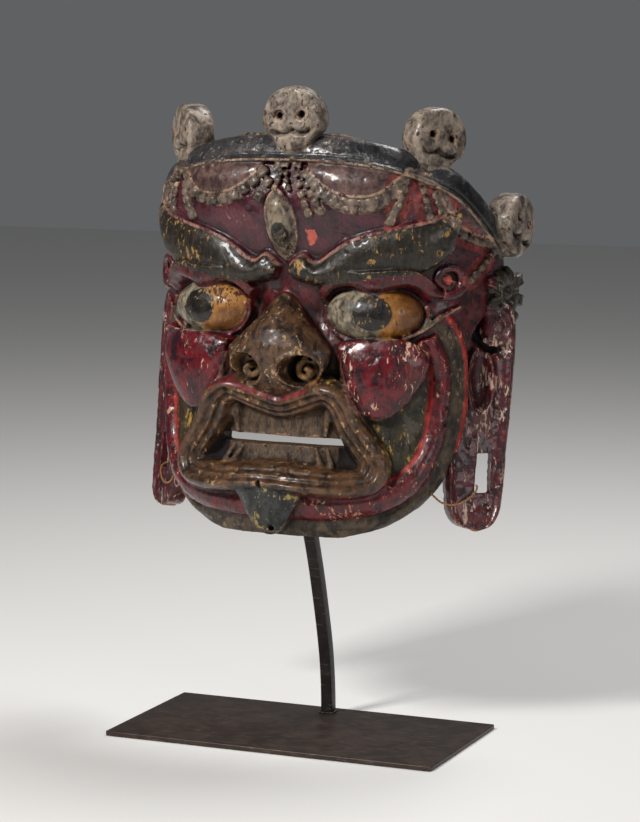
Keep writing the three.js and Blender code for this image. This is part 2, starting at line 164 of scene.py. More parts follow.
def line_distance(at: Array, line: Array, closed: bool = False) -> Array:
    """Each point's distance to a line of straight steps, worked out step by step.

    Args:
        at: the points.
        line: the line's points.
        closed: whether the last point joins the first.

    Returns:
        One distance for each point.
    """
    ends = np.vstack([line, line[:1]]) if closed else line
    best = np.full(len(at), np.inf)
    for a, b in zip(ends[:-1], ends[1:]):
        along = b - a
        t = np.clip((at - a) @ along / max(along @ along, 1e-12), 0, 1)
        gap = at - a - t[:, None] * along
        best = np.minimum(best, np.einsum("ij,ij->i", gap, gap))
    return np.sqrt(best)


def inside_distance(at: Array, outline: Array) -> Array:
    """Each point's distance to a closed outline, positive inside it, by crossings of a ray.

    Args:
        at: the points.
        outline: its points in order.

    Returns:
        One distance for each point.
    """
    nearest = line_distance(at, outline, closed=True)
    inside = np.zeros(len(at), bool)
    for a, b in zip(outline, np.roll(outline, -1, axis=0)):
        spans = (a[1] > at[:, 1]) != (b[1] > at[:, 1])
        rise = b[1] - a[1] if b[1] != a[1] else 1e-12
        inside ^= spans & (at[:, 0] < (b[0] - a[0]) * (at[:, 1] - a[1]) / rise + a[0])
    return np.where(inside, nearest, -nearest)


def swell(t: Array, power: float = 0.5) -> Array:
    """A rounded rise, 0 at both ends and 1 in the middle: a half sine raised to a power."""
    return np.sin(np.pi * np.clip(t, 0, 1)) ** power


def around(count: int) -> Array:
    """Directions spread evenly over a full turn, in radians."""
    return np.linspace(0, 2 * np.pi, count, endpoint=False)


def least(*values: Array | float) -> Array:
    """The smallest of several measures at each point."""
    return reduce(np.minimum, values)


def dip(a: Array, b: Array, centre: Pair, reach: Pair) -> Array:
    """A bell over two distances, 1 at its centre."""
    return np.exp(-(((a - centre[0]) / reach[0]) ** 2) - ((b - centre[1]) / reach[1]) ** 2)


# ---- surfaces that carving stands on

class Surface(Protocol):
    """A surface with two distances along it and a third out of it, in mm."""

    def point(self, a: Array, b: Array, h: Array | float) -> Array:
        """Points in space from places on the surface.

        Args:
            a: distances along it.
            b: distances up it.
            h: distances out of it.

        Returns:
            Points (x, y, z).
        """

    def address(self, xyz: Array) -> tuple[Array, Array, Array]:
        """Places on the surface from points in space.

        Args:
            xyz: points (x, y, z).

        Returns:
            a, b and h.
        """


@dataclass(frozen=True)
class Skin:
    """The bowed front of the mask: u round the face, z up, h out of it.

    The plan is a superellipse about an upright axis behind the face. Its reach forwards and its
    half width change with height.
    """

    axis_y: float = 110.0
    wrap: float = 150.0
    squareness: float = 2.6
    table: float = 5.0
    reach: tuple[Array, Array] = field(default_factory=lambda: soft_table((
        (200, -48), (220, -57), (245, -59), (275, -52), (305, -42), (340, -37), (375, -34),
        (440, -31), (475, -30), (505, -37), (535, -43), (560, -38), (580, -24), (600, -14)), 7))
    half: tuple[Array, Array] = field(default_factory=lambda: soft_table((
        (200, 138), (220, 152), (245, 163), (275, 170), (305, 175), (375, 178), (480, 178),
        (520, 176), (550, 170), (580, 156), (600, 140)), 7))

    def radius(self, angle: Array, z: Array) -> Array:
        """Distance of the skin from its axis: both half axes to a power, summed and rooted.

        Args:
            angle: the turn about the axis, in radians.
            z: the height.

        Returns:
            Millimetres from the axis.
        """
        forward = (np.abs(np.cos(angle)) / (self.axis_y - np.interp(z, *self.reach)))
        sideways = np.abs(np.sin(angle)) / np.interp(z, *self.half)
        n = self.squareness
        return (forward**n + sideways**n) ** (-1 / n)

    def point(self, a: Array, b: Array, h: Array | float) -> Array:
        """Points in the mask's own frame, from u, z and h."""
        angle = np.asarray(a, float) / self.wrap
        z = np.asarray(b, float) + 0 * angle
        radius = self.radius(angle, z) + h
        return np.stack([radius * np.sin(angle), self.axis_y - radius * np.cos(angle),
                         z + self.table], axis=-1)

    def address(self, xyz: Array) -> tuple[Array, Array, Array]:
        """u, z and h of points in the mask's own frame."""
        x, y, z = xyz[:, 0], self.axis_y - xyz[:, 1], xyz[:, 2] - self.table
        angle = np.arctan2(x, y)
        return self.wrap * angle, z, np.hypot(x, y) - self.radius(angle, z)


@dataclass(frozen=True)
class Plane:
    """A flat place to carve on: an origin, a direction across, one up, and one out."""

    origin: Array
    across: Array
    up: Array
    out: Array

    def point(self, a: Array, b: Array, h: Array | float) -> Array:
        """The origin plus each distance along its direction."""
        a, b, h = np.broadcast_arrays(a, b, h)
        return (self.origin + a[..., None] * self.across + b[..., None] * self.up
                + h[..., None] * self.out)

    def address(self, xyz: Array) -> tuple[Array, Array, Array]:
        """Distances along each direction."""
        gap = xyz - self.origin
        return gap @ self.across, gap @ self.up, gap @ self.out


def turned(axis: int, degrees: float) -> Array:
    """The matrix of a turn about X (0), Y (1) or Z (2).

    Args:
        axis: which of the three.
        degrees: how far, by the right hand.

    Returns:
        The matrix.
    """
    angle = math.radians(degrees)
    i, j = [(1, 2), (2, 0), (0, 1)][axis]
    matrix = np.eye(3)
    matrix[i, i] = matrix[j, j] = math.cos(angle)
    matrix[i, j], matrix[j, i] = -math.sin(angle), math.sin(angle)
    return matrix


# ---- solids

class Solids:
    """Closed solids collected as points and faces, each worked out as a whole array."""

    def __init__(self) -> None:
        """Starts empty."""
        self.points: list[Array] = []
        self.faces: list[list[int]] = []
        self.count = 0

    def _add(self, points: Array, faces: Iterable[Sequence[int]]) -> None:
        """Adds points and the faces that number them from 0.

        Args:
            points: points (x, y, z).
            faces: the corners of each face.
        """
        self.points.append(points)
        start = self.count
        self.faces.extend([[start + k for k in face] for face in faces])
        self.count += len(points)

    @staticmethod
    def _quads(rows: int, columns: int, wrapped: bool) -> Array:
        """The corners of each cell of a grid, closed round when wrapped.

        Args:
            rows: rows of points.
            columns: points in a row.
            wrapped: whether a row closes on itself.

        Returns:
            Four corners for each cell.
        """
        i, j = np.meshgrid(np.arange(rows - 1), np.arange(columns - (not wrapped)), indexing="ij")
        k = (j + 1) % columns
        cell = [i * columns + j, i * columns + k, (i + 1) * columns + k, (i + 1) * columns + j]
        return np.stack(cell, axis=-1).reshape(-1, 4)

    def slab(self, front: Array, back: Array) -> None:
        """A solid between two grids of the same size, walled round their borders.

        Args:
            front: the outer grid of points.
            back: the inner grid.
        """
        rows, columns = front.shape[:2]
        size = rows * columns
        index = np.arange(size).reshape(rows, columns)
        ring = np.r_[index[0, :-1], index[:-1, -1], index[-1, :0:-1], index[:0:-1, 0]]
        after = np.roll(ring, -1)
        wall = np.stack([after, ring, ring + size, after + size], axis=1)
        quads = self._quads(rows, columns, False)
        faces = np.vstack([quads, quads[:, ::-1] + size, wall])
        self._add(np.concatenate([front.reshape(-1, 3), back.reshape(-1, 3)]), faces.tolist())

    def loft(self, sections: Array, joined: bool = False) -> None:
        """A solid through closed sections, joined end to end or capped at both ends.

        Args:
            sections: a row of points for each section.
            joined: whether the last meets the first.
        """
        rows, columns = sections.shape[:2]
        rings = np.concatenate([sections, sections[:1]]) if joined else sections
        faces = self._quads(len(rings), columns, True).tolist()
        if joined:
            faces = [[k % (rows * columns) for k in face] for face in faces]
            rings = sections
        else:
            last = (rows - 1) * columns
            faces += [list(range(columns))[::-1], list(range(last, last + columns))]
        self._add(rings.reshape(-1, 3), faces)

    def pad(self, on: Surface, lower: Sequence, upper: Sequence, relief: Relief, side: int = 1,
            steps: int = 48, across: int = 20, root: float = ROOT) -> None:
        """Raised carving between a lower and an upper edge.

        Args:
            on: the surface that it stands on.
            lower: points of the lower edge.
            upper: points of the upper edge, run the same way.
            relief: height from (s, t, a, b): s along the piece, t from the lower edge (0) to the
                upper (1), and the place on the surface.
            side: -1 mirrors it.
            steps: cells along it.
            across: cells from edge to edge.
            root: how deep it is rooted.
        """
        low, high = (curve(edge, steps + 1) for edge in (lower, upper))
        t = np.linspace(0, 1, across + 1)[None, :, None]
        place = low[:, None] * (1 - t) + high[:, None] * t
        s = np.linspace(0, 1, steps + 1)[:, None] + 0 * t[..., 0]
        a, b = place[..., 0], place[..., 1]
        h = relief(s, t[..., 0] + 0 * s, a, b)
        self.slab(on.point(side * a, b, h), on.point(side * a, b, root))

    def moulding(self, on: Surface, line: Array, profile: Sequence[Pair],
                 width: Array | float = 1.0, side: int = 1, joined: bool = False) -> None:
        """A moulding carried along a line on a surface.

        Args:
            on: the surface that it stands on.
            line: points (a, b) or (a, b, lift).
            profile: a closed section as (distance to the left, height). Heights at ROOT stay.
            width: scales the distances, one value or one for each point.
            side: -1 mirrors it.
            joined: whether the line closes on itself.
        """
        lift = line[:, 2] if line.shape[1] > 2 else np.zeros(len(line))
        if joined:
            along = np.roll(line, -1, axis=0)[:, :2] - np.roll(line, 1, axis=0)[:, :2]
        else:
            along = np.gradient(line[:, :2], axis=0)
        along /= np.linalg.norm(along, axis=1)[:, None]
        aside, height = np.asarray(profile, float).T
        aside = aside[None] * np.broadcast_to(width, len(line))[:, None]
        a = line[:, :1] - along[:, 1:] * aside
        b = line[:, 1:2] + along[:, :1] * aside
        h = np.where(height <= ROOT, height, height + lift[:, None])
        self.loft(on.point(side * a, b, h), joined)

    def tube(self, on: Surface, line: Array, radius: Array | float, side: int = 1,
             sides: int = 10) -> None:
        """A round strand along a line of (a, b, h) points on a surface.

        Args:
            on: the surface that it stands on.
            line: points (a, b, h).
            radius: one value or one for each point.
            side: -1 mirrors it.
            sides: points round it.
        """
        along = np.gradient(line[:, :2], axis=0)
        along /= np.maximum(np.linalg.norm(along, axis=1), 1e-9)[:, None]
        turn = around(sides)[None]
        thick = np.broadcast_to(radius, len(line))[:, None]
        aside, rise = thick * np.cos(turn), thick * np.sin(turn)
        a = line[:, :1] - along[:, 1:] * aside
        b = line[:, 1:2] + along[:, :1] * aside
        self.loft(on.point(side * a, b, line[:, 2:3] + rise))

    def blob(self, on: Surface, place: Triple,
             size: Triple, turn: float = 0.0, side: int = 1,
             cells: tuple[int, int] = (14, 8), blunt: float = 1.0, floor: float = -15.0) -> None:
        """An egg wrapped on a surface: an ellipsoid in (a, b, h), turned in its plane.

        Args:
            on: the surface that it stands on.
            place: its centre (a, b, h).
            size: its half axes along, up and out.
            turn: degrees from along towards up.
            side: -1 mirrors it.
            cells: cells round and from pole to pole.
            blunt: below 1 squares it off.
            floor: nothing of it goes deeper than this.
        """
        round_ = around(cells[0])[None]
        down = np.linspace(0.02, np.pi - 0.02, cells[1] + 1)[:, None]

        def blunted(value: Array) -> Array:
            """A sine or cosine raised to the power blunt, with its sign kept."""
            return np.sign(value) * np.abs(value) ** blunt

        x = size[0] * blunted(np.cos(round_)) * blunted(np.sin(down))
        y = size[1] * blunted(np.sin(round_)) * blunted(np.sin(down))
        z = size[2] * blunted(np.cos(down)) + 0 * x
        c, s = math.cos(math.radians(turn)), math.sin(math.radians(turn))
        a = place[0] + c * x - s * y
        b = place[1] + s * x + c * y
        self.loft(on.point(side * a, b, np.maximum(place[2] + z, floor)))

    def beads(self, on: Surface, line: Sequence, size: Pair,
              side: int = 1) -> None:
        """A string of beads whose size runs from size[0] to size[1] along a line.

        Args:
            on: the surface that it stands on.
            line: points (a, b).
            size: the first and the last bead's radius.
            side: -1 mirrors it.
        """
        spacing, lift, plump = 2.05, 1.2, 0.95
        mean = 0.5 * (size[0] + size[1])
        fine = curve(line, 60)
        length = np.linalg.norm(np.diff(fine, axis=0), axis=1).sum()
        count = max(2, int(round(length / (mean * spacing))))
        at = resample(fine, count)
        along = np.gradient(at, axis=0)
        for k, (a, b) in enumerate(at):
            r = size[0] + (size[1] - size[0]) * k / (count - 1)
            turn = math.degrees(math.atan2(along[k, 1], along[k, 0]))
            self.blob(on, (a, b, lift), (r, r * plump, r * 0.95), turn, side, (20, 12), 0.6)

    def mesh(self, name: str, turn: Array | None = None) -> Piece:
        """One object of everything collected, in metres, turned by a matrix if one is given.

        Args:
            name: the object's name.
            turn: the matrix.

        Returns:
            The object.
        """
        points = np.concatenate(self.points)
        if turn is not None:
            points = points @ turn.T
        data = bpy.data.meshes.new(name)
        data.from_pydata((points * MM).tolist(), [], self.faces)
        mesh = bmesh.new()
        mesh.from_mesh(data)
        bmesh.ops.recalc_face_normals(mesh, faces=mesh.faces)
        mesh.to_mesh(data)
        mesh.free()
        return show(name, data)


def show(name: str, data: bpy.types.Mesh) -> Piece:
    """A new object for a mesh, in the scene.

    Args:
        name: its name.
        data: the mesh.

    Returns:
        The object.
    """
    piece = bpy.data.objects.new(name, data)
    bpy.context.scene.collection.objects.link(piece)
    return piece


def apply_modifiers(piece: Piece) -> None:
    """Writes a piece's modifiers into its mesh.

    Args:
        piece: the object.
    """
    graph = bpy.context.evaluated_depsgraph_get()
    made = bpy.data.meshes.new_from_object(piece.evaluated_get(graph))
    piece.modifiers.clear()
    old = piece.data
    piece.data = made
    made.name = piece.name
    bpy.data.meshes.remove(old)


def vectors_of(items: bpy.types.bpy_prop_collection, name: str) -> Array:
    """One vector of each of a mesh's items.

    Args:
        items: its vertices or its vertex normals.
        name: which vector.

    Returns:
        Rows (x, y, z).
    """
    flat = np.empty(3 * len(items))
    items.foreach_get(name, flat)
    return flat.reshape(-1, 3)


# ---- the parts of the carving

@dataclass(frozen=True)
class Places:
    """Where each point of the finished carving is: in space and on the skin, in mm."""

    xyz: Array
    u: Array
    z: Array
    h: Array

    @property
    def folded(self) -> Array:
        """(|u|, z) of each point, so one side's outlines serve both."""
        return np.stack([np.abs(self.u), self.z], axis=1)

    @property
    def flat(self) -> Array:
        """(u, z) of each point."""
        return np.stack([self.u, self.z], axis=1)


Zones = dict[str, Array]


class Part(Protocol):
    """A part of the carving: the wood that it adds and the paint that it wears."""

    def carve(self, solids: Solids) -> None:
        """Adds its wood.

        Args:
            solids: the solids that the carving is joined from.
        """

    def zones(self, at: Places) -> Zones:
        """Measures how far each point lies inside each of its zones of paint.

        Args:
            at: the points' places.

        Returns:
            A signed distance in mm for each point, by the zone's name.
        """


def merge_zones(all_zones: Iterable[Zones]) -> Zones:
    """The largest value that any part gives each zone.

    Args:
        all_zones: each part's zones.

    Returns:
        All of them together.
    """
    merged: Zones = {}
    for zones in all_zones:
        for name, value in zones.items():
            merged[name] = np.maximum(merged[name], value) if name in merged else value
    return merged


def outline_of(lower: Sequence, upper: Sequence, count: int = 26) -> Array:
    """The closed outline between two edges that run the same way."""
    return np.vstack([curve(lower, count), curve(upper, count)[::-1]])


@dataclass
class Shell:
    """The bowed wall of the mask, 18 mm thick, with its shallow hollows."""

    skin: Skin
    wall: float = 18.0
    span: tuple[Pair, ...] = (
        (206, 58), (210, 78), (217, 103), (234, 130), (258, 149), (288, 161), (322, 168),
        (375, 170), (405, 180), (424, 198), (440, 224), (487, 228), (529, 199), (562, 167), (582, 124),
        (592, 84), (597, 60))
    # rise in mm (below 0 it sinks), centre (|u|, z) and reach: the eye's two corners, the flank of
    # the jaw and of the nose, the brow, the middle of the forehead, lip, cheek and mouth's corner
    swellings: tuple = (
        (-13, (46, 431), (25, 25)), (-6, (118, 440), (22, 16)), (-8, (120, 216), (30, 26)),
        (-6, (60, 356), (24, 34)), (3, (62, 520), (34, 20)), (-3, (0, 560), (26, 16)),
        (4, (22, 340), (24, 12)), (3, (104, 300), (20, 34)), (-9, (66, 290), (10, 17)))

    def relief(self, u: Array, z: Array) -> Array:
        """The sum of its swellings, the same on both sides."""
        return sum(rise * dip(np.abs(u), z, centre, reach) for rise, centre, reach in self.swellings)

    def carve(self, solids: Solids) -> None:
        """The wall: rows from the chin to the crown, each as wide as the face is there."""
        low, high = self.span[0][0], self.span[-1][0]
        z = np.linspace(low, high, 230)[:, None]
        half = np.interp(z, *soft_table(self.span, 2.0))
        u = half * np.linspace(-1, 1, 260)[None]
        h = self.relief(u, z + 0 * u)
        edge = least(1, (1 - np.abs(np.linspace(-1, 1, 260))[None]) * half / 5)
        solids.slab(self.skin.point(u, z, h - 2.5 * (1 - edge) ** 2),
                    self.skin.point(u, z, -self.wall))

    def zones(self, at: Places) -> Zones:
        """The bare inner face, and the purple cast of the forehead."""
        high = least(at.z - 470, 40) / 40
        return {"inner": -at.h - 0.62 * self.wall, "forehead": high}


@dataclass
class Brows:
    """Two heavy brows with a lobe at the nose, a thin rim above, and the third eye between."""

    skin: Skin
    lower: tuple = ((10, 460), (28, 453), (60, 455), (95, 462), (128, 467), (147, 480), (157, 504))
    upper: tuple = ((5, 470), (20, 481), (33, 474), (68, 496), (106, 508), (132, 515), (160, 527))
    third: Pair = (-2.0, 510.0)

    def carve(self, solids: Solids) -> None:
        """Swelling pads that overhang the eyes, a thin rim above, a lobe and the third eye."""
        def relief(s: Array, t: Array, a: Array, b: Array) -> Array:
            """A rounded pad that thins outwards, with a heavier lower edge."""
            return 4 + (10 - 3 * s) * swell(t, 0.55) + 4.5 * (1 - t) * swell(s, 0.6)

        rim = [(5, -9), (1.8, -0.6), (1.2, 1.0), (0, 1.6), (-1.2, 1.0), (-1.8, -0.6), (-5, -9)]
        for side in SIDES:
            solids.pad(self.skin, self.lower, self.upper, relief, side, 90, 26)
            solids.moulding(self.skin, curve([(*p, 5.4) for p in self.upper], 110), rim, side=side)
            solids.blob(self.skin, (17, 467, 4), (12, 12.5, 10), side=side, cells=(24, 14))
        a, b = self.third
        solids.blob(self.skin, (a, b, 0), (13.5, 31, 14), 3, cells=(28, 18))
        loop = self._lens(80)
        solids.moulding(self.skin, np.c_[loop, np.full(80, 1.6)], rim, joined=True)
        solids.blob(self.skin, (a + 2, b - 8, 9.5), (7.5, 10, 5.5), cells=(20, 12))

    def _lens(self, count: int) -> Array:
        """The third eye's outline: a pointed lens, by two arcs.

        Args:
            count: how many points come back.

        Returns:
            Points (u, z).
        """
        a, b = self.third
        turn = around(count)
        wide = 15.5 * np.sign(np.sin(turn)) * np.abs(np.sin(turn)) ** 1.25
        return np.stack([a + wide + 3 * np.cos(turn), b - 34 * np.cos(turn)], axis=1)

    def zones(self, at: Places) -> Zones:
        """Black brows, thin pale trim along their tops, and the third eye."""
        outer = at.h + 6
        brow = inside_distance(at.folded, outline_of(self.lower, self.upper))
        lens = inside_distance(at.flat, self._lens(60))
        trim = 1.4 - line_distance(at.folded, curve(self.upper, 60))
        pupil = 1 - np.hypot((at.u - self.third[0] - 2) / 8.5, (at.z - self.third[1] + 10) / 13)
        return {"brow": least(brow, outer), "third_eye": least(lens, outer),
                "trim": least(trim, outer), "pupil": least(7 * pupil, outer),
                "tan_edge": least(0.8 - np.abs(lens + 0.4), outer)}


@dataclass
class Eyes:
    """Bulging globes under a heavy lid with a scalloped edge."""

    skin: Skin
    centre: Triple = (88, 425, -9)
    size: Triple = (45, 27.5, 28)
    lid_low: tuple = ((42, 436), (52, 447), (66, 451), (78, 446), (90, 444), (102, 448), (114, 450),
                      (126, 444), (136, 434))
    lid_high: tuple = ((36, 446), (50, 460), (66, 466), (80, 467), (92, 468), (104, 469), (118, 468),
                       (132, 460), (144, 446))
    iris: Pair = (85, 427)
    cheek_top: float = 401.5

    def carve(self, solids: Solids) -> None:
        """A globe wrapped on the skin, a low rim under it, the lid and the outer ridge."""
        a, b, _ = self.centre
        turn = np.linspace(0.9 * np.pi, 2.1 * np.pi, 70)
        rim = np.stack([a + 46 * np.cos(turn), b - 0.5 + 29 * np.sin(turn),
                        2.0 + 1.5 * np.cos(turn - 0.4)], axis=1)
        corner = curve([(112, 402, 7), (128, 409, 5), (146, 424, 3), (163, 431, 2)], 40)
        fold = curve([(112, 462, 8), (124, 456, 8), (136, 446, 6), (148, 443, 4)], 40)

        def lid(s: Array, t: Array, x: Array, y: Array) -> Array:
            """A steep, rounded lower edge that rises towards the brow."""
            rounded = np.sin(0.5 * np.pi * np.clip(2.4 * t + 0.04, 0, 1)) ** 0.55
            return -3 + 21.5 * swell(0.04 + 0.92 * s, 0.5) * rounded * (0.85 + 0.15 * t)

        for side in SIDES:
            solids.blob(self.skin, self.centre, self.size, side=side, cells=(56, 32))
            solids.tube(self.skin, rim, 2.2, side)
            solids.tube(self.skin, corner, np.linspace(2.4, 1.6, 40), side)
            solids.tube(self.skin, fold, np.linspace(4.5, 3.5, 40), side)
            solids.pad(self.skin, self.lid_low, self.lid_high, lid, side, 70, 16)

    def zones(self, at: Places) -> Zones:
        """Grey ivory globes with an ochre part on the mask's left, black irises, red lids, and a pale
        painted highlight along the ridge at each outer lower corner.
        """
        a, b, _ = self.centre
        u, z = at.folded.T
        globe = 34 * (1 - np.hypot((u - a) / 43, (z - b - 0.8) / 25.6))
        lid = inside_distance(at.folded, outline_of(self.lid_low, self.lid_high))
        globe = least(globe, -lid, at.h + 6, z - self.cheek_top)
        iris = 17 * (1 - np.hypot((u - self.iris[0]) / 16, (z - self.iris[1]) / 17))
        # painted highlight: a pale line along the ridge at each eye's outer lower corner
        corner = 1.3 - line_distance(at.folded, curve([(112, 402), (128, 409), (162, 431)], 20))
        ochre = np.where(at.u > 0, at.u - 92, at.u + 84) * 0.5
        return {"bone_eye": globe, "ochre": least(globe, ochre),
                "pupil": least(iris, globe),
                "tan_edge": least(corner, at.h + 6, 1 - lid)}


@dataclass
class Cheeks:
    """Shield-shaped cheek pads with a ledge under the eye."""

    skin: Skin
    lower: tuple = ((57, 386), (62, 360), (72, 335), (90, 325), (110, 337), (127, 362), (131, 380))
    upper: tuple = ((57, 396), (68, 399), (80, 401), (92, 402), (104, 402), (117, 399), (131, 389))

    def carve(self, solids: Solids) -> None:
        """A crowned pad, highest under its top edge, with a fillet round its outer foot."""
        def relief(s: Array, t: Array, a: Array, b: Array) -> Array:
            """A crown that falls away to every edge."""
            crown = swell(0.1 + 0.72 * t, 0.6) * swell(0.1 + 0.8 * s, 0.5)
            return 3.5 + 20 * crown

        foot = curve([(*p, 2.2) for p in self.lower], 80)
        fillet = [(4, -9), (2, -0.4), (0.8, 1.2), (-0.8, 1.2), (-2, -0.4), (-4, -9)]
        for side in SIDES:
            solids.pad(self.skin, self.lower, self.upper, relief, side, 64, 40)
            solids.moulding(self.skin, foot + [0, -1, 0], fillet, side=side)

    def zones(self, at: Places) -> Zones:
        """Bright lacquer on the pad, and a pale rim round its lower edge."""
        pad = inside_distance(at.folded, outline_of(self.lower, self.upper))
        trim = 1.9 - line_distance(at.folded, curve(self.lower, 50) + [0, -1.5])
        low = least(trim, 384 - at.z)
        return {"bright": least(pad, at.h + 4), "trim": least(low, at.h + 6)}


@dataclass
class Nose:
    """A blunt diamond with two deep nostrils, each with a scroll curling inside."""

    skin: Skin
    top: tuple = ((-50, 391), (-34, 409), (-19, 427), (-9, 439), (0, 443), (9, 439), (19, 427),
                  (34, 409), (50, 391))
    bottom: tuple = ((-50, 386), (-46, 373), (-36, 359), (-19, 349), (0, 345), (19, 349), (36, 359),
                     (46, 373), (50, 386))
    nostril: tuple[float, float, float, float] = (25.0, 371.0, 16.0, 15.0)
    scroll: tuple = ((34, 360, 8), (38, 368, 10), (35, 378, 11), (26, 380, 12), (20, 374, 14),
                     (21, 366, 16), (28, 363, 18), (32, 369, 19), (27, 373, 20))

    def relief(self, s: Array, t: Array, a: Array, b: Array) -> Array:
        """A rounded ridge falling to the wings, rounded off below, with the nostrils sunk in.

        Args:
            s: the share along it. Not used.
            t: the share across it. Not used.
            a: u.
            b: z.

        Returns:
            Heights out of the skin.
        """
        ridge = np.interp(b, (345, 352, 362, 378, 395, 410, 425, 442),
                          (17, 26, 34, 40, 42, 38, 25, 7))
        wing = np.interp(b, (345, 360, 390, 410, 426, 442), (13, 20, 19, 12, 6, 2))
        half = np.interp(b, (345, 349, 360, 374, 390, 409, 426, 442), (8, 20, 36, 47, 50, 34, 20, 8))
        out = np.clip(np.abs(a) / half, 0, 1)
        h = wing + (ridge - wing) * (1 - out**1.9) ** 0.8
        centre, level, wide, tall = self.nostril
        hole = np.hypot((np.abs(a) - centre) / wide, (b - level) / tall)
        sink = np.clip((1.06 - hole) / 0.2, 0, 1)
        lip = 2.2 * np.exp(-(((hole - 1.16) / 0.13) ** 2))
        return (h + lip) * (1 - sink) + 3.0 * sink

    def carve(self, solids: Solids) -> None:
        """The diamond as one height field, and a rising strand in each nostril."""
        solids.pad(self.skin, self.bottom, self.top, self.relief, 1, 150, 110)
        curl = [(4.2, ROOT), (4.2, -2), (2.6, 0.6), (0, 1.6), (-2.6, 0.6), (-4.2, -2), (-4.2, ROOT)]
        for side in SIDES:
            solids.moulding(self.skin, curve(self.scroll, 90), curl, np.linspace(1.1, 0.7, 90), side)

    def zones(self, at: Places) -> Zones:
        """Grey-brown nose, golden scrolls, painted shade inside the nostrils and a rosy bridge."""
        outer = at.h + 2
        face = inside_distance(at.flat, outline_of(self.bottom, self.top, 40))
        scroll = 4.2 - line_distance(at.folded, curve([p[:2] for p in self.scroll], 60))
        bridge = 6 - np.hypot(at.u, (at.z - 441) * 0.8)
        centre, level, wide, tall = self.nostril
        hole = 15 * (1 - np.hypot((np.abs(at.u) - centre) / wide, (at.z - level) / tall))
        return {"nose": least(face, outer), "rosy": bridge,
                "gold": least(scroll, hole + 2, at.h - 5),
                # painted shade: darkens the inside of each nostril
                "soot": least(hole - 0.5, 18 - at.h, 1 - scroll)}


@dataclass
class Mouth:
    """A snarling ring of lips in three steps, with tooth rows above and below an open slit."""

    skin: Skin
    crest: tuple = (
        (0, 334, 15), (24, 341, 22), (46, 349, 31), (58, 340, 31), (67, 318, 25), (80, 296, 20),
        (87, 281, 18), (82, 266, 18), (60, 262, 26), (30, 264, 34), (0, 266, 35))
    slit: Triple = (130.0, 8.5, 299.0)
    tooth: float = 8.6
    # each fang's line and its radius at the root and the tip: one above, two below
    fangs: tuple = ((((49, 336, 6), (47, 322, 5), (45, 305, 2)), 4.2, 2.0),
                    (((46, 270, 7), (41, 281, 5), (36, 295, 2)), 4.2, 1.6),
                    (((52, 270, 6), (50, 282, 4), (47, 294, 1)), 3.6, 1.6))

    def ring(self, count: int) -> Array:
        """The crest line of the lips, all the way round, as (u, z, height)."""
        left = [(-p[0], *p[1:]) for p in self.crest[-2:0:-1]]
        return curve([*self.crest, *left], count, closed=True)

    def carve(self, solids: Solids) -> None:
        """The stepped lip ring and the teeth behind it."""
        ring = self.ring(230)
        lift = ring[:, 2]
        along = np.roll(ring, -1, axis=0)[:, :2] - np.roll(ring, 1, axis=0)[:, :2]
        along /= np.linalg.norm(along, axis=1)[:, None]
        # distance to the left (outwards), share of the crest's height, and a step on top of it
        steps = np.array([
            (15, 0, ROOT), (14, 0.35, 0), (12.5, 0.66, 0), (10, 0.86, 0), (6.5, 0.98, 0.8),
            (3.5, 1, 1.4), (1, 1, 0.4), (-0.8, 0.95, -2.6), (-2.2, 0.94, -3.2), (-3.6, 0.94, -1.2),
            (-5.4, 0.9, -1.2), (-6.8, 0.82, -4.6), (-8, 0.8, -5), (-9.4, 0.8, -3.2),
            (-11, 0.74, -3.6), (-12.8, 0.55, -6), (-15, 0.22, -7), (-17.5, 0, ROOT)])
        a = ring[:, :1] - along[:, 1:] * steps[:, 0]
        b = ring[:, 1:2] + along[:, :1] * steps[:, 0]
        h = lift[:, None] * steps[:, 1] + steps[:, 2]
        solids.loft(self.skin.point(a, b, h), joined=True)
        self._teeth(solids)

    def _teeth(self, solids: Solids) -> None:
        """Two flat rows of teeth, parted by shallow grooves, and the fangs on each side.

        Args:
            solids: the solids that they join.
        """
        def row(level: float, lean: float) -> Relief:
            """The relief of one row.

            Args:
                level: its height at its lower edge, in mm.
                lean: how much higher its upper edge is.

            Returns:
                The relief.
            """
            def relief(s: Array, t: Array, a: Array, b: Array) -> Array:
                """Flat teeth with a groove between each two, sunk at the row's ends."""
                gap = (np.mod(a / self.tooth, 1) - 0.5) * self.tooth
                worn = 0.5 * np.sin(a * 0.7) * np.sin(a * 0.23 + 1)
                end = np.clip((np.abs(a) - half + 6) / 6, 0, 1)
                return level + lean * t - 1.4 * np.exp(-((gap / 0.8) ** 2)) + worn - 9 * end**2
            return relief

        half, _, middle = self.slit
        half = 0.5 * half - 8
        top, low = middle + 4.5, middle - 4.5
        solids.pad(self.skin, [(-half, top), (0, top), (half, top)],
                   [(-half, 338), (0, 332), (half, 338)], row(-1.5, 5.0), steps=150, across=12)
        solids.pad(self.skin, [(-half, 268), (0, 268), (half, 268)],
                   [(-half, low), (0, low), (half, low)], row(2.5, -3.5), steps=150, across=12)
        for side in SIDES:
            for line, root, tip in self.fangs:
                solids.tube(self.skin, curve(line, 24), np.linspace(root, tip, 24), side)

    def zones(self, at: Places) -> Zones:
        """Golden brown lips, tan teeth, painted shade in the mouth's corners, and rosy wood over the
        upper lip.
        """
        ring = self.ring(90)
        outer = inside_distance(at.flat, ring[:, :2])
        lips = least(outer + 10.5, at.h + 5)
        teeth = least(outer - 15.5, 14 - at.h)
        # painted shade: the mouth's corners, deep inside the lip ring and low down
        corner = least(outer - 13, np.abs(at.u) - 57)
        rosy = least(22 * (1 - np.hypot((at.u + 14) / 44, (at.z - 352) / 24)), -outer - 4.5)
        return {"lips": lips, "teeth": teeth, "soot": least(corner, 7 - at.h),
                "rosy": least(rosy, at.h + 4)}


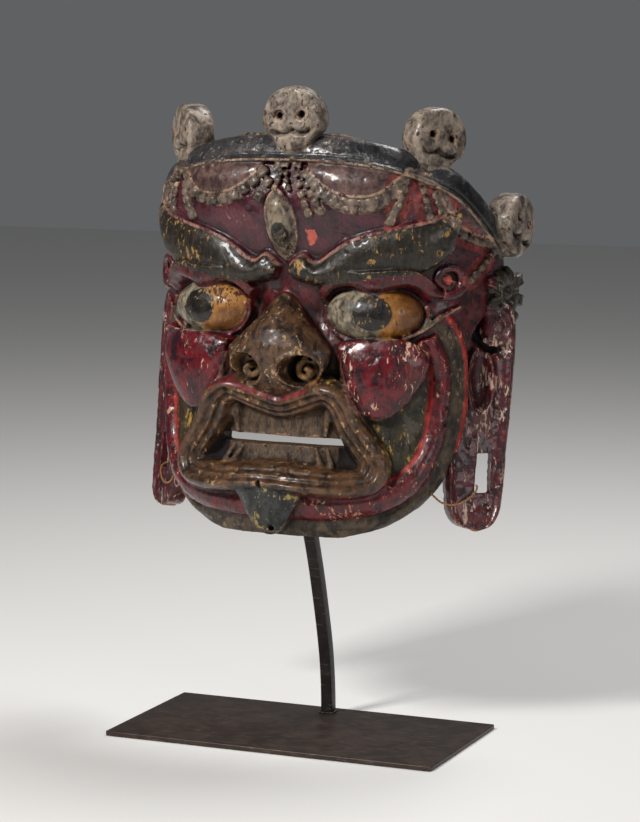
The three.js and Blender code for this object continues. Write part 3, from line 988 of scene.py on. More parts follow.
@dataclass
class Jaw:
    """The rolled red edge under each cheek, the outer band, and the goatee."""

    skin: Skin
    roll: tuple = ((133, 402), (144, 372), (143, 335), (136, 298), (120, 267), (94, 249),
                   (56, 241), (0, 239))
    band: tuple = ((136, 412), (154, 392), (159, 360), (159, 322), (151, 286), (137, 256),
                   (108, 230), (60, 217), (0, 214))
    ridge: tuple = ((150, 424), (165, 398), (170, 360), (168, 322), (160, 288))
    beard_low: tuple = ((-26, 244), (-17, 227), (-8, 213), (0, 209), (8, 213), (17, 227), (26, 244))
    beard_high: tuple = ((-27, 257), (-18, 260), (-9, 261), (0, 261), (9, 261), (18, 260), (27, 257))

    @staticmethod
    def _width(line: Array) -> Array:
        """The roll broadens from 9 mm down the cheeks to 16 mm under the lips."""
        return 1 + 0.75 * np.clip((290 - line[:, 1]) / 45, 0, 1)

    def carve(self, solids: Solids) -> None:
        """Half-round mouldings along each line, and a pointed beard below the lip."""
        roll = curve(mirror_half(self.roll), 220)
        band = curve(mirror_half(self.band), 220)
        half_round = [(9, ROOT), (9, 0), (7.5, 5), (4, 8.5), (0, 9.8), (-4, 8.5), (-7.5, 5), (-9, 0),
                      (-9, ROOT)]
        outer = [(7.5, ROOT), (7.5, -5), (5, -1), (1, 0.8), (-3, 0), (-6, -3), (-7.5, -7),
                 (-7.5, ROOT)]
        thin = [(4, ROOT), (4, -3), (2, 0.5), (0, 1.5), (-2, 0.5), (-4, -3), (-4, ROOT)]
        solids.moulding(self.skin, roll, half_round, self._width(roll))
        solids.moulding(self.skin, band, outer)
        for side in SIDES:
            solids.moulding(self.skin, curve(self.ridge, 70), thin, side=side)

        def beard(s: Array, t: Array, a: Array, b: Array) -> Array:
            """A rounded wedge, thickest at the lip."""
            return 14 + 13 * t + 5 * swell(s, 0.7)

        solids.pad(self.skin, self.beard_low, self.beard_high, beard, 1, 40, 26)

    def zones(self, at: Places) -> Zones:
        """A red roll between scarlet lines, a grey-brown band, a dark panel and beard."""
        outer = at.h + 8
        line = curve(mirror_half(self.roll), 120)
        to_roll = line_distance(at.flat, line)
        broad = 9 * (1 + 0.75 * np.clip((290 - at.z) / 45, 0, 1))
        roll = broad - to_roll
        band_line = curve(mirror_half(self.band), 120)
        panel = inside_distance(at.flat, line) - broad
        panel = least(panel, 384 - at.z, np.abs(at.u) - 42)
        beard = inside_distance(at.flat, outline_of(self.beard_low, self.beard_high))
        band = least(10 - line_distance(at.flat, band_line), -roll)
        chin = least(226 - at.z, 100 - np.abs(at.u))
        ridge = 2.4 - line_distance(at.folded, curve(self.ridge, 40))
        inner = np.where(inside_distance(at.flat, line) > 0, 1.5 - np.abs(roll + 0.2), -9)
        red = np.maximum(least(inner, 398 - at.z, -beard), ridge)
        return {"roll": least(roll, outer), "band": least(np.maximum(band, chin), outer),
                "panel": least(panel, outer), "beard": least(beard, at.h - 2),
                "scarlet": least(red, outer)}


@dataclass
class Forehead:
    """Swags, strings of beads and their lens-shaped pads under the crown."""

    skin: Skin
    swag_low: tuple = ((25, 566), (38, 552), (62, 540), (88, 541), (104, 553), (116, 564))
    swag_high: tuple = ((25, 570), (44, 573), (62, 573), (84, 572), (102, 569), (116, 566))
    side_low: tuple = ((141, 545), (148, 526), (162, 509), (182, 499), (200, 494), (211, 488))
    side_high: tuple = ((141, 550), (157, 540), (172, 527), (186, 513), (199, 501), (212, 490))
    chip: tuple = ((23, 507), (28, 504), (32, 509), (35, 501), (34, 493), (29, 489), (24, 493),
                   (26, 499))

    @property
    def pads(self) -> tuple[tuple[tuple, tuple], ...]:
        """The lower and the upper edge of each lens-shaped pad."""
        return (self.swag_low, self.swag_high), (self.side_low, self.side_high)

    def strings(self, side: int) -> list[tuple[tuple, float, float]]:
        """Each string on one side: its points, and its first and last bead's radius.

        Args:
            side: 1 for the right, -1 for the left.

        Returns:
            Every string there.
        """
        inner = self.swag_low[1:-1]
        edge = tuple((a - 2, b - 6) for a, b in self.side_low)
        fans = [
            (((2, 568), (4, 556), (7, 546)), 2.8, 3.2), (((118, 562), (111, 540), (101, 515)), 3, 4.4),
            (((125, 561), (130, 540), (134, 518)), 2.8, 4.2),
            (((132, 558), (141, 541), (150, 525)), 2.8, 4.0), (edge, 3.4, 3.8),
            (((199, 480), (186, 468), (172, 456)), 3.4, 4.0)]
        if side > 0:
            upper = ((24, 559), *((a, b - 6) for a, b in inner), (113, 557))
            lower = ((38, 541), *((a, b - 13) for a, b in inner[1:]), (108, 546))
            return fans + [(upper, 3.7, 3.4), (lower, 3.5, 3.3),
                           (((10, 568), (19, 546), (28, 522)), 3.0, 4.6),
                           (((16, 567), (28, 546), (40, 524)), 3.0, 4.6)]
        upper = ((22, 561), *((a, b - 7.5) for a, b in inner), (113, 557))
        return fans + [(upper, 5.2, 5.4), (((8, 567), (15, 552), (23, 537)), 4.0, 5.4)]

    def carve(self, solids: Solids) -> None:
        """Lens pads with a rolled lower edge, and the beads."""
        def relief(s: Array, t: Array, a: Array, b: Array) -> Array:
            """A low lens."""
            return 2.5 + 4.5 * swell(t, 0.6) * swell(s, 0.4)

        lip = [(3, -8), (1.5, 0), (0, 1.4), (-1.5, 0), (-3, -8)]
        for side in SIDES:
            for low, high in self.pads:
                solids.pad(self.skin, low, high, relief, side, 44, 12)
                solids.moulding(self.skin, curve([(*p, 3.6) for p in low], 60), lip, side=side)
            for line, first, last in self.strings(side):
                solids.beads(self.skin, line, (first, last), side)

    def zones(self, at: Places) -> Zones:
        """Grey-brown beads, rosy ground at one temple, pads with a pale edge, and the chip."""
        outer = at.h + 4
        beads = np.full(len(at.u), NOWHERE)
        for side in SIDES:
            here = at.u * side > 0
            for line, first, last in self.strings(side):
                reach = max(first, last) + 0.4 - line_distance(at.folded[here], curve(line, 24))
                beads[here] = np.maximum(beads[here], reach)
        edges = [1.2 - line_distance(at.folded, curve(low, 40)) for low, _ in self.pads]
        swags = [inside_distance(at.folded, outline_of(*pad)) for pad in self.pads]
        ground = np.where(at.u > 96, beads + 6, FAR)
        chip = inside_distance(at.flat, np.array(self.chip, float))
        return {"beads": least(beads, at.h - 0.8),
                "tan_edge": least(np.maximum(*edges), outer),
                "swag": least(np.maximum(*swags), outer),
                "ground": least(ground, outer), "chip": chip}


@dataclass
class Crown:
    """The moulded band across the top, and the thin broken edge of wood behind it."""

    skin: Skin
    line: tuple = ((214, 484), (188, 516), (160, 546), (128, 565), (92, 577), (50, 582), (0, 583))

    def carve(self, solids: Solids) -> None:
        """A broad cove over a half-round, carried along the arch."""
        arch = curve(mirror_half(self.line), 260)
        profile = [(-13, -14), (-13, 1), (-12.6, 3.5), (-10, 5.8), (-5, 7), (-1, 7.4), (3, 7),
                   (4.6, 5.6), (5.8, 5.4), (7.4, 8.2), (9.6, 9), (11.4, 7.6), (12.4, 4), (12.4, -9)]
        solids.moulding(self.skin, arch, profile)

    def zones(self, at: Places) -> Zones:
        """Blue-black paint on the band, rubbed along its lower edge, and bare wood behind it."""
        arch = curve(mirror_half(self.line), 120)
        near = line_distance(at.flat, arch)
        below = inside_distance(at.flat, arch)
        rubbed = np.where(below > 0, 1.0 - np.abs(near - 10.4), FAR)
        behind = np.where((below < 0) & (at.z > 492), near - 12.6, FAR)
        return {"crown": least(12.8 - near, at.h + 7), "band": least(behind, 6.0),
                "tan_edge": least(rubbed, at.h + 3)}


@dataclass
class Skulls:
    """Five short skulls standing on the crown."""

    skin: Skin
    seats: tuple = ((6, 612, -4, 2), (149, 592, 14, 57), (-149, 592, -14, -45), (226, 506, 24, 86),
                    (-226, 506, -24, -86))

    def planes(self) -> list[Plane]:
        """Each skull's own flat front: turned to face out of the skin, then leaned outwards.

        Returns:
            One plane for each seat.
        """
        planes = []
        for u, z, lean, facing in self.seats:
            turn = turned(2, facing) @ turned(1, lean)
            origin = self.skin.point(np.array(u), np.array(z), -3.5)
            planes.append(Plane(origin, turn[:, 0], turn[:, 2], -turn[:, 1]))
        return planes

    @staticmethod
    def _outline(turn: Array) -> Array:
        """The distance from the middle to the edge: a dome above, narrowing to a flat chin.

        Args:
            turn: directions from the middle, in radians.

        Returns:
            One distance for each.
        """
        up = np.sin(turn)
        wide = 31 + 1.5 * np.clip(-up, 0, 1) ** 2 - 3.6 * np.exp(-(((up + 0.68) / 0.24) ** 2))
        flat_chin = np.where(up < 0, 31.5 / np.maximum(-up, 0.3), 99)
        return least(wide, flat_chin)

    @staticmethod
    def _front(a: Array, b: Array, out: Array) -> Array:
        """The face's height: nearly flat, drilled eyes, two round cheeks over a chin.

        Args:
            a: distances across.
            b: distances up.
            out: the share of the way to the edge.

        Returns:
            Heights out of the plane.
        """
        h = 24.5 - 3.2 * np.clip((out - 0.88) / 0.12, 0, 1) ** 2 - 1.2 * out**2
        for side in SIDES:
            eye = np.hypot(a - side * 11.5, b - 4)
            h = h - 1.6 * (eye < 5.6) - 7.0 * (eye < 3.4)
            cheek = np.hypot((a - side * 10.5) / 1.12, b + 2.5)
            groove = np.exp(-(((cheek - 11.5) / 1.9) ** 2)) * np.clip((-6.5 - b) / 3, 0, 1)
            h = h - 7.5 * groove * (side * a > -1) * np.clip((21 - np.abs(a)) / 4, 0, 1)
            h = h + 1.6 * np.exp(-((cheek / 9.0) ** 2))
        nose = np.exp(-((a / 2.4) ** 2)) * np.clip(1 - np.abs(b + 6) / 7, 0, 1)
        return h - 2.2 * nose

    def carve(self, solids: Solids) -> None:
        """A thick disc: rings from the middle to the edge, over the front and round the rim."""
        turn = around(120)[None]
        out = np.r_[0.02, np.linspace(0.04, 1, 46)][:, None]
        edge = self._outline(turn)
        a, b = out * edge * np.cos(turn), out * edge * np.sin(turn)
        front = self._front(a, b, out)
        levels = np.array([12.0, 6.0, 1.0, -3.0, -5.5])[:, None]
        shrink = np.array([1.02, 1.03, 1.0, 0.94, 0.82])[:, None]
        rim_a, rim_b = shrink * edge * np.cos(turn), shrink * edge * np.sin(turn)
        rings_a = np.concatenate([a, rim_a])
        rings_b = np.concatenate([b, rim_b])
        rings_h = np.concatenate([front, levels + 0 * rim_a])
        for plane in self.planes():
            solids.loft(plane.point(rings_a, rings_b, rings_h))

    def zones(self, at: Places) -> Zones:
        """Weathered bone-coloured wood, painted shade inside the drilled eyes, and a pale ring round
        each.
        """
        bone, soot, rings = (np.full(len(at.u), NOWHERE) for _ in range(3))
        for plane in self.planes():
            a, b, h = plane.address(at.xyz)
            reach = self._outline(np.arctan2(b, a)) * 1.04 - np.hypot(a, b)
            within = least(reach + 1.2, 27 - h, h + 8)
            bone = np.maximum(bone, within)
            eyes = np.maximum(*[4.2 - np.hypot(a - s * 11.5, b - 4) for s in SIDES])
            # painted shade: darkens the inside of each drilled eye
            soot = np.maximum(soot, least(eyes, 21.0 - h, within))
            rings = np.maximum(rings, least(0.9 - np.abs(eyes + 0.7), within, h - 14))
        return {"skull": bone, "skull_eye": soot, "tan_edge": rings}


@dataclass
class Temples:
    """A curl beside each brow and a rosette of blunt leaves at the temple's edge."""

    skin: Skin
    rosette: Pair = (221.0, 439.0)
    curl: Pair = (151.0, 458.0)

    def _spiral(self, count: int) -> Array:
        """The curl: a tail from the lid that winds in one and a quarter turns.

        Args:
            count: how many points come back.

        Returns:
            Points (u, z, h).
        """
        turn = np.linspace(-0.62 * np.pi, 1.9 * np.pi, count)
        reach = np.linspace(16, 5, count)
        a = self.curl[0] + reach * np.cos(turn)
        b = self.curl[1] + reach * np.sin(turn)
        return np.stack([a, b, np.linspace(4, 3, count)], axis=1)

    def leaves(self) -> list[Triple]:
        """Each leaf's direction in degrees, distance and length."""
        ring = [(float(angle), 16.0, 11.5) for angle in np.linspace(0, 360, 9, endpoint=False)]
        return ring + [(22, 29, 8), (-20, 28, 9), (-62, 29, 9), (-105, 27, 8), (150, 25, 8)]

    def carve(self, solids: Solids) -> None:
        """A wound strand, and veined leaves in a ring."""
        for side in SIDES:
            solids.tube(self.skin, self._spiral(90), np.linspace(5.2, 2.6, 90), side, 12)
            solids.blob(self.skin, (*self.curl, 1), (4.5, 5, 3), side=side)
            for angle, away, long in self.leaves():
                c, s = math.cos(math.radians(angle)), math.sin(math.radians(angle))
                at = (self.rosette[0] + away * c, self.rosette[1] + away * s)
                solids.blob(self.skin, (*at, 0), (long, 6.4, 8), angle, side, (14, 9), 0.9)
                for off in (-4.4, 4.4):
                    leaf = (at[0] - off * s, at[1] + off * c, 3)
                    solids.blob(self.skin, leaf, (long * 0.8, 2.1, 6), angle, side, (10, 7))
            solids.blob(self.skin, (*self.rosette, 2), (7, 7, 8), side=side, cells=(16, 10))

    def zones(self, at: Places) -> Zones:
        """Black-green leaves, and in the curl a ring of painted shade round a rosy middle."""
        rosette = 29 - np.hypot(np.abs(at.u) - self.rosette[0] - 3, at.z - self.rosette[1])
        middle = np.hypot(np.abs(at.u) - self.curl[0], at.z - self.curl[1])
        return {"leaf": least(rosette, at.h + 2),
                "chip": least(5 - middle, 4.5 - at.h),
                # painted shade: a dark ring in the curl's hollow, round its middle
                "soot": least(2.2 - np.abs(middle - 7.5), 3.2 - at.h)}


@dataclass
class Ears:
    """Long flat ears: a scroll at the top, a hollow down the middle, a slot in the lobe."""

    x: float = 161.0
    y: float = 45.0
    z: float = 250.0
    turn: float = 38.0
    lean_back: float = 7.0
    lean_in: float = 3.0
    table: float = 5.0
    inner: tuple = ((2, 209), (-14, 214), (-22, 226), (-25, 246), (-25, 280), (-24, 320), (-24, 360),
                    (-22, 395), (-10, 420), (6, 436))
    outer: tuple = ((6, 207), (20, 212), (30, 228), (34, 256), (37, 290), (41, 330), (44, 370),
                    (46, 400), (42, 426), (22, 441))
    slot: tuple = ((4, 245), (20, 245), (21, 284), (6, 284))
    ball: Pair = (25.0, 406.0)

    def plane(self, side: int) -> Plane:
        """The ear's own plane. The left ear's is the right one's mirror image.

        Args:
            side: 1 for the right ear, -1 for the left.

        Returns:
            The plane.
        """
        matrix = turned(1, -self.lean_in) @ turned(0, -self.lean_back) @ turned(2, self.turn)
        flip = np.array([side, 1, 1])
        origin = np.array([self.x, self.y, self.table])
        up = matrix[:, 2]
        origin = origin + np.array([0, 0, self.z]) - up * self.z
        return Plane(origin * flip, matrix[:, 0] * flip, up * flip, -matrix[:, 1] * flip)

    def _scroll(self, count: int) -> Array:
        """A strand that winds into the ear's top.

        Args:
            count: how many points come back.

        Returns:
            Points (a, b, h).
        """
        turn = np.linspace(1.12 * np.pi, -0.75 * np.pi, count)
        reach = np.linspace(26, 13, count)
        return np.stack([self.ball[0] - 4 + reach * np.cos(turn), self.ball[1] + reach * np.sin(turn),
                         np.linspace(13, 15, count)], axis=1)

    def _relief(self, s: Array, t: Array, a: Array, b: Array) -> Array:
        """A raised border, an oval ring round a groove, and a ball beside a deep crescent.

        Args:
            s: the share along it. Not used.
            t: the share across it.
            a: distances across.
            b: distances up.

        Returns:
            Heights out of the plane.
        """
        edge = np.abs(2 * t - 1)
        h = 12.5 + 3.4 * np.exp(-(((edge - 0.86) / 0.1) ** 2)) - 3.0 * np.clip(edge - 0.93, 0, 1) / 0.07
        ring = np.hypot((a - 9) / 12.5, (b - 354) / 33)
        h = h + 4.0 * np.exp(-(((ring - 1) / 0.22) ** 2)) - 9.5 * np.clip(1 - ring**2, 0, 1)
        h = h - 12 * np.exp(-(((self._crescent(a, b)) / 5.2) ** 2))
        return h + 3.0 * dip(a, b, self.ball, (12, 14)) + 2.5 * dip(a, b, (12, 222), (18, 10))

    def _crescent(self, a: Array, b: Array) -> Array:
        """The distance from an arc 20 mm round the ball, from its left to its underside.

        Args:
            a: distances across.
            b: distances up.

        Returns:
            One distance for each point.
        """
        away = np.hypot(a - self.ball[0], b - self.ball[1])
        turn = np.arctan2(b - self.ball[1], a - self.ball[0]) - math.radians(212)
        beyond = np.abs(np.mod(turn + np.pi, 2 * np.pi) - np.pi) - math.radians(48)
        return np.hypot(away - 20, 14 * np.clip(beyond, 0, None))

    def carve(self, solids: Solids) -> None:
        """A slab between its inner and outer edges, with a scroll wound on its top."""
        for side in SIDES:
            plane = self.plane(side)
            solids.pad(plane, self.inner, self.outer, self._relief, 1, 150, 56, root=-2.5)
            solids.tube(plane, self._scroll(90), np.linspace(4.2, 2.6, 90), sides=12)

    def slots(self, cutters: Solids) -> None:
        """A straight-sided cut through each lobe.

        Args:
            cutters: the solids that are cut away.
        """
        corners = np.array(self.slot, float)
        for side in SIDES:
            plane = self.plane(side)
            levels = [plane.point(corners[:, 0], corners[:, 1], h) for h in (-14.0, 30.0)]
            cutters.loft(np.stack(levels))

    def zones(self, at: Places) -> Zones:
        """Worn red ears, painted shade in the scroll's crescent hollow, bare wood along their outer
        edges.
        """
        ear, edge, dark = (np.full(len(at.u), NOWHERE) for _ in range(3))
        outline = outline_of(self.inner, self.outer, 40)
        for side in SIDES:
            a, b, h = self.plane(side).address(at.xyz)
            within = inside_distance(np.stack([a, b], axis=1), outline)
            depth = least(h + 5, 24 - h)
            ear = np.maximum(ear, least(within + 2, depth))
            rim = least(1.0 - np.abs(within), (a + 2) * 0.2)
            edge = np.maximum(edge, least(rim, depth))
            # painted shade in the carved crescent beside the scroll's ball
            hollow = 4.6 - self._crescent(a, b)
            dark = np.maximum(dark, least(hollow, 11 - h, h + 3))
        return {"ear": ear, "bare": edge, "soot": dark}


@dataclass
class Mask:
    """The whole carving: its parts joined, cut, weathered and dressed.

    The fine surface is three closed meshes that run into each other: face, crest and ears. The
    zones in all_round reach the back as well; the others stop at the bare inner wood.
    """

    skin: Skin = field(default_factory=Skin)
    turn: float = -2.0
    triangles: int = 194000
    all_round: tuple[str, ...] = ("inner", "skull", "skull_eye", "ear", "bare", "leaf")

    def face(self) -> list[Part]:
        """The parts of the face."""
        skin = self.skin
        return [Shell(skin), Jaw(skin), Cheeks(skin), Brows(skin), Eyes(skin), Nose(skin),
                Mouth(skin)]

    def crest(self) -> list[Part]:
        """The parts that stand round the forehead and temples."""
        return [Forehead(self.skin), Temples(self.skin), Crown(self.skin), Skulls(self.skin)]

    def face_cutters(self) -> Solids:
        """The mouth's slit, the gaps in the nostrils, the beard's hole and the lip's crack.

        Returns:
            The solids that are cut away.
        """
        cut = Solids()
        width, height, z = Mouth(self.skin).slit
        x = np.array([-1, 1, 1, -1]) * width / 2
        level = np.array([-1, -1, 1, 1]) * height / 2 + z + self.skin.table
        ends = [np.stack([x, np.full(4, deep), level], axis=1) for deep in (-110.0, 0.0)]
        cut.loft(np.stack(ends))
        for side in SIDES:
            cut.blob(self.skin, (19, 381, 0), (2.0, 3.6, 34), side=side, floor=-40)
            cut.blob(self.skin, (31, 382, 0), (2.2, 3.6, 34), -15, side, floor=-40)
        cut.blob(self.skin, (3, 217, 20), (3.2, 3.2, 26), cells=(14, 10))
        cut.blob(self.skin, (-2, 261, 36), (1.8, 6, 9), 12, cells=(12, 10))
        return cut

    def build(self) -> list[Piece]:
        """Builds the three meshes of the carving and paints each.

        Returns:
            The three pieces.
        """
        ears = Ears()
        slots = Solids()
        ears.slots(slots)
        face, crest = self.face(), self.crest()
        plans = (("carved_face", face, self.face_cutters(), 1.3, face + crest),
                 ("carved_crest", crest, None, 1.15, face[:1] + face[3:4] + crest),
                 ("carved_ears", [ears], slots, 1.15, [ears]))
        everything = [*face, *crest, ears]
        pieces = [self._carve(name, parts, cut, voxel) for name, parts, cut, voxel, _ in plans]
        names = {name for part in everything for name in part.zones(self._one_place())}
        for piece, plan in zip(pieces, plans):
            self._paint(piece, plan[4], names)
        return pieces

    def _one_place(self) -> Places:
        """A single point, used to ask each part for the names of its zones."""
        xyz = np.zeros((1, 3))
        return Places(xyz, *self.skin.address(xyz))

    def _carve(self, name: str, parts: list[Part], knife: Solids | None,
               voxel: float) -> Piece:
        """One closed mesh.

        Args:
            name: its name.
            parts: what it is made of.
            knife: what is cut out of it.
            voxel: the grid that joins its solids, in mm.

        Returns:
            The weathered and thinned piece.
        """
        solids = Solids()
        for part in parts:
            part.carve(solids)
        turn = turned(2, self.turn)
        piece = solids.mesh(name, turn)
        self._remesh(piece, voxel)
        if knife:
            blade = knife.mesh("blade", turn)
            bpy.context.view_layer.update()
            cut = piece.modifiers.new("cut", "BOOLEAN")
            cut.object, cut.operation, cut.solver = blade, "DIFFERENCE", "EXACT"
            apply_modifiers(piece)
            bpy.data.objects.remove(blade)
            self._remesh(piece, voxel)
        self._weather(piece)
        self._thin(piece)
        return piece

    @staticmethod
    def _remesh(piece: Piece, voxel: float) -> None:
        """One skin round everything that touches.

        Args:
            piece: the solids.
            voxel: the grid's step, in mm.
        """
        remesh = piece.modifiers.new("join", "REMESH")
        remesh.mode, remesh.voxel_size = "VOXEL", voxel * MM
        remesh.use_smooth_shade = True
        apply_modifiers(piece)

    def _weather(self, piece: Piece) -> None:
        """Moves the front's points along their normals: tool marks, dents and fine wear.

        Args:
            piece: the joined and cut mesh.
        """
        data = piece.data
        place, normal = vectors_of(data.vertices, "co"), vectors_of(data.vertex_normals, "vector")
        mm = place / MM
        depth = self.skin.address(mm @ turned(2, self.turn))[2]
        front = np.clip((depth + 16) / 6, 0, 1)
        wave = 0.45 * value_noise(mm, 19, 3) + 0.3 * value_noise(mm, 8, 4) * front
        wear = 0.2 * value_noise(mm, 3.1, 5) * front
        chips = np.clip(value_noise(mm, 5.5, 6) + value_noise(mm, 14, 7) - 0.72, 0, 1) * front
        moved = place + normal * (MM * (wave + wear - 1.5 * chips))[:, None]
        data.vertices.foreach_set("co", moved.ravel())
        data.update()

    def _thin(self, piece: Piece) -> None:
        """Collapses the flattest edges until the piece has its number of triangles.

        Args:
            piece: the weathered mesh.
        """
        data = piece.data
        data.calc_loop_triangles()
        before = len(data.loop_triangles)
        if before > self.triangles:
            thin = piece.modifiers.new("thin", "DECIMATE")
            thin.ratio = self.triangles / before
            apply_modifiers(piece)
        mesh = bmesh.new()
        mesh.from_mesh(piece.data)
        bmesh.ops.triangulate(mesh, faces=mesh.faces)
        mesh.to_mesh(piece.data)
        mesh.free()
        piece.data.shade_smooth()
        log.info("%s: %d triangles, %d before thinning", piece.name, len(piece.data.polygons),
                 before)

    def _paint(self, piece: Piece, parts: list[Part], names: set[str]) -> None:
        """Writes every zone, and the ridges and hollows, onto a piece.

        Args:
            piece: the mesh to write on.
            parts: the parts whose zones reach it.
            names: every zone's name. One that doesn't reach it is far below nought.
        """
        data = piece.data
        xyz = vectors_of(data.vertices, "co") / MM @ turned(2, self.turn)
        at = Places(xyz, *self.skin.address(xyz))
        zones = merge_zones(part.zones(at) for part in parts)
        behind = zones.get("inner", np.full(len(xyz), FAR))
        for name, value in zones.items():
            if name not in self.all_round:
                zones[name] = least(value, 2 - behind)
        zones["ridge"], zones["hollow"] = relief_of(data)
        for name in sorted(names | set(zones)):
            value = np.clip(zones.get(name, np.full(len(xyz), FAR)), FAR, -FAR)
            layer = data.attributes.new(f"zone_{name}", "FLOAT", "POINT")
            layer.data.foreach_set("value", value.astype(np.float32))


def relief_of(data: bpy.types.Mesh) -> tuple[Array, Array]:
    """How far each point stands above, or lies below, its averaged surroundings, in mm.

    The points are averaged with their neighbours, a few times for ridges and many for hollows,
    and the gap is measured along the normal.

    Args:
        data: the mesh.

    Returns:
        The ridges and the hollows.
    """
    edges = np.empty(2 * len(data.edges), int)
    data.edges.foreach_get("vertices", edges)
    a, b = edges.reshape(-1, 2).T
    count = len(data.vertices)
    degree = np.maximum(np.bincount(np.r_[a, b], minlength=count), 1)[:, None]
    place, normal = vectors_of(data.vertices, "co") / MM, vectors_of(data.vertex_normals, "vector")
    smooth = place.copy()
    measures = []
    for steps in (4, 26):
        for _ in range(steps):
            total = np.stack([np.bincount(np.r_[a, b], np.r_[smooth[b, k], smooth[a, k]], count)
                              for k in range(3)], axis=1)
            smooth = 0.4 * smooth + 0.6 * total / degree
        measures.append(np.einsum("ij,ij->i", place - smooth, normal))
    return measures[0], -measures[1]


# ---- finishes

Colour = tuple[float, float, float, float]
Shade = tuple[int, int, int]  # red, green and blue on a screen, from 0 to 255
Socket = bpy.types.NodeSocket


def rgb(red: int, green: int, blue: int) -> Colour:
    """A colour from its 0-255 screen values, as the linear values that shaders take.

    Args:
        red: 0 to 255.
        green: 0 to 255.
        blue: 0 to 255.

    Returns:
        The colour, opaque.
    """
    def linear(value: float) -> float:
        """One channel, by the screen's usual curve."""
        value /= 255
        return value / 12.92 if value <= 0.04045 else ((value + 0.055) / 1.055) ** 2.4

    return (linear(red), linear(green), linear(blue), 1.0)


class Tree:
    """Writes nodes into the tree of a material or a group."""

    def __init__(self, tree: Group) -> None:
        """Takes the tree to write in."""
        self.tree = tree

    def node(self, kind: str, inputs: dict | None = None, **settings: object) -> bpy.types.Node:
        """A new node.

        Args:
            kind: the node's type.
            inputs: a value or a socket for each named or numbered input.
            settings: the node's own properties.

        Returns:
            The node.
        """
        made = self.tree.nodes.new(kind)
        for name, value in settings.items():
            setattr(made, name, value)
        self.feed(made, inputs or {})
        return made

    def feed(self, target: bpy.types.Node, inputs: dict) -> None:
        """Sets a node's inputs.

        Args:
            target: the node.
            inputs: a value or a socket for each named or numbered input.
        """
        for name, value in inputs.items():
            if isinstance(value, Socket):
                self.tree.links.new(value, target.inputs[name])
            else:
                target.inputs[name].default_value = value

    def bump(self, height: Socket, strength: float, distance: float) -> Socket:
        """A surface's normal, tilted by a height that is distance metres for 1."""
        inputs = {"Height": height, "Strength": strength, "Distance": distance}
        return self.node("ShaderNodeBump", inputs).outputs[0]

    def math(self, operation: str, *values: Socket | float) -> Socket:
        """One sum, product or other operation."""
        return self.node("ShaderNodeMath", dict(enumerate(values)), operation=operation).outputs[0]

    def step(self, value: Socket, low: Socket | float, high: Socket | float) -> Socket:
        """0 below low, 1 above high, and an eased rise between."""
        inputs = {"Value": value, "From Min": low, "From Max": high}
        return self.node("ShaderNodeMapRange", inputs,
                         interpolation_type="SMOOTHSTEP").outputs["Result"]

    def mix(self, share: Socket | float, a: Socket | Colour, b: Socket | Colour) -> Socket:
        """A colour between a (share 0) and b (share 1)."""
        return self.node("ShaderNodeMix", {0: share, 6: a, 7: b}, data_type="RGBA").outputs[2]

    def blend(self, share: Socket | float, a: Socket | float, b: Socket | float) -> Socket:
        """A number between a (share 0) and b (share 1)."""
        return self.node("ShaderNodeMix", {0: share, 2: a, 3: b}, data_type="FLOAT").outputs[0]

    def attribute(self, name: str) -> Socket:
        """A number stored on the mesh."""
        return self.node("ShaderNodeAttribute", attribute_name=name,
                         attribute_type="GEOMETRY").outputs["Fac"]

    def place(self, stretch: Triple = (1, 1, 1)) -> Socket:
        """Object coordinates, with each axis scaled."""
        where = self.node("ShaderNodeTexCoord").outputs["Object"]
        return self.node("ShaderNodeMapping", {"Vector": where, "Scale": stretch}).outputs[0]

    def noise(self, vector: Socket, scale: float, detail: float = 4.0, rough: float = 0.6,
              twist: float = 0.0) -> Socket:
        """Fractal noise from 0 to 1, with scale features to a metre."""
        inputs = {"Vector": vector, "Scale": scale, "Detail": detail, "Roughness": rough,
                  "Distortion": twist}
        return self.node("ShaderNodeTexNoise", inputs).outputs["Fac"]


def new_material(name: str) -> tuple[Finish, Tree, bpy.types.Node]:
    """An empty finish.

    Args:
        name: its name.

    Returns:
        The material, its tree and its shader.
    """
    made = bpy.data.materials.new(name)
    made.use_nodes = True
    return made, Tree(made.node_tree), made.node_tree.nodes["Principled BSDF"]


def node_group(name: str, inputs: dict[str, Colour | float],
               outputs: dict[str, str]) -> tuple[Tree, Socket, bpy.types.Node]:
    """A new shared group.

    Args:
        name: the group's name.
        inputs: each input's default, a colour or a number.
        outputs: each output's kind.

    Returns:
        Its tree, its inputs' sockets and its output node.
    """
    tree = bpy.data.node_groups.new(name, "ShaderNodeTree")
    for label, default in inputs.items():
        kind = "Float" if isinstance(default, float) else "Color"
        socket = tree.interface.new_socket(label, in_out="INPUT", socket_type=f"NodeSocket{kind}")
        socket.default_value = default
    for label, kind in outputs.items():
        tree.interface.new_socket(label, in_out="OUTPUT", socket_type=f"NodeSocket{kind}")
    writer = Tree(tree)
    return writer, writer.node("NodeGroupInput").outputs, writer.node("NodeGroupOutput")


def paint_group() -> Group:
    """One coat over another: its edge wanders, its colour is mottled, and flecks show in it.

    Returns:
        The group.
    """
    black = (0, 0, 0, 1)
    tree, given, out = node_group("coat_of_paint", {
        "Under": black, "Under Rough": 0.5, "Zone": 0.0, "Wander": 0.0, "Dark": black,
        "Light": black, "Mottle": 0.5, "Fleck": black, "Flecks": 0.0, "Rough": 0.5,
        "Under Chips": 0.0}, {"Color": "Color", "Roughness": "Float", "Chips": "Float"})
    edge = tree.math("ADD", given["Zone"], given["Wander"])
    cover = tree.step(edge, -0.45, 0.45)
    body = tree.mix(given["Mottle"], given["Dark"], given["Light"])
    body = tree.mix(given["Flecks"], body, given["Fleck"])
    rough = tree.math("MULTIPLY_ADD", given["Flecks"], 0.18, given["Rough"])
    tree.feed(out, {"Color": tree.mix(cover, given["Under"], body),
                    "Roughness": tree.blend(cover, given["Under Rough"], rough),
                    "Chips": tree.blend(cover, given["Under Chips"], given["Flecks"])})
    return tree.tree


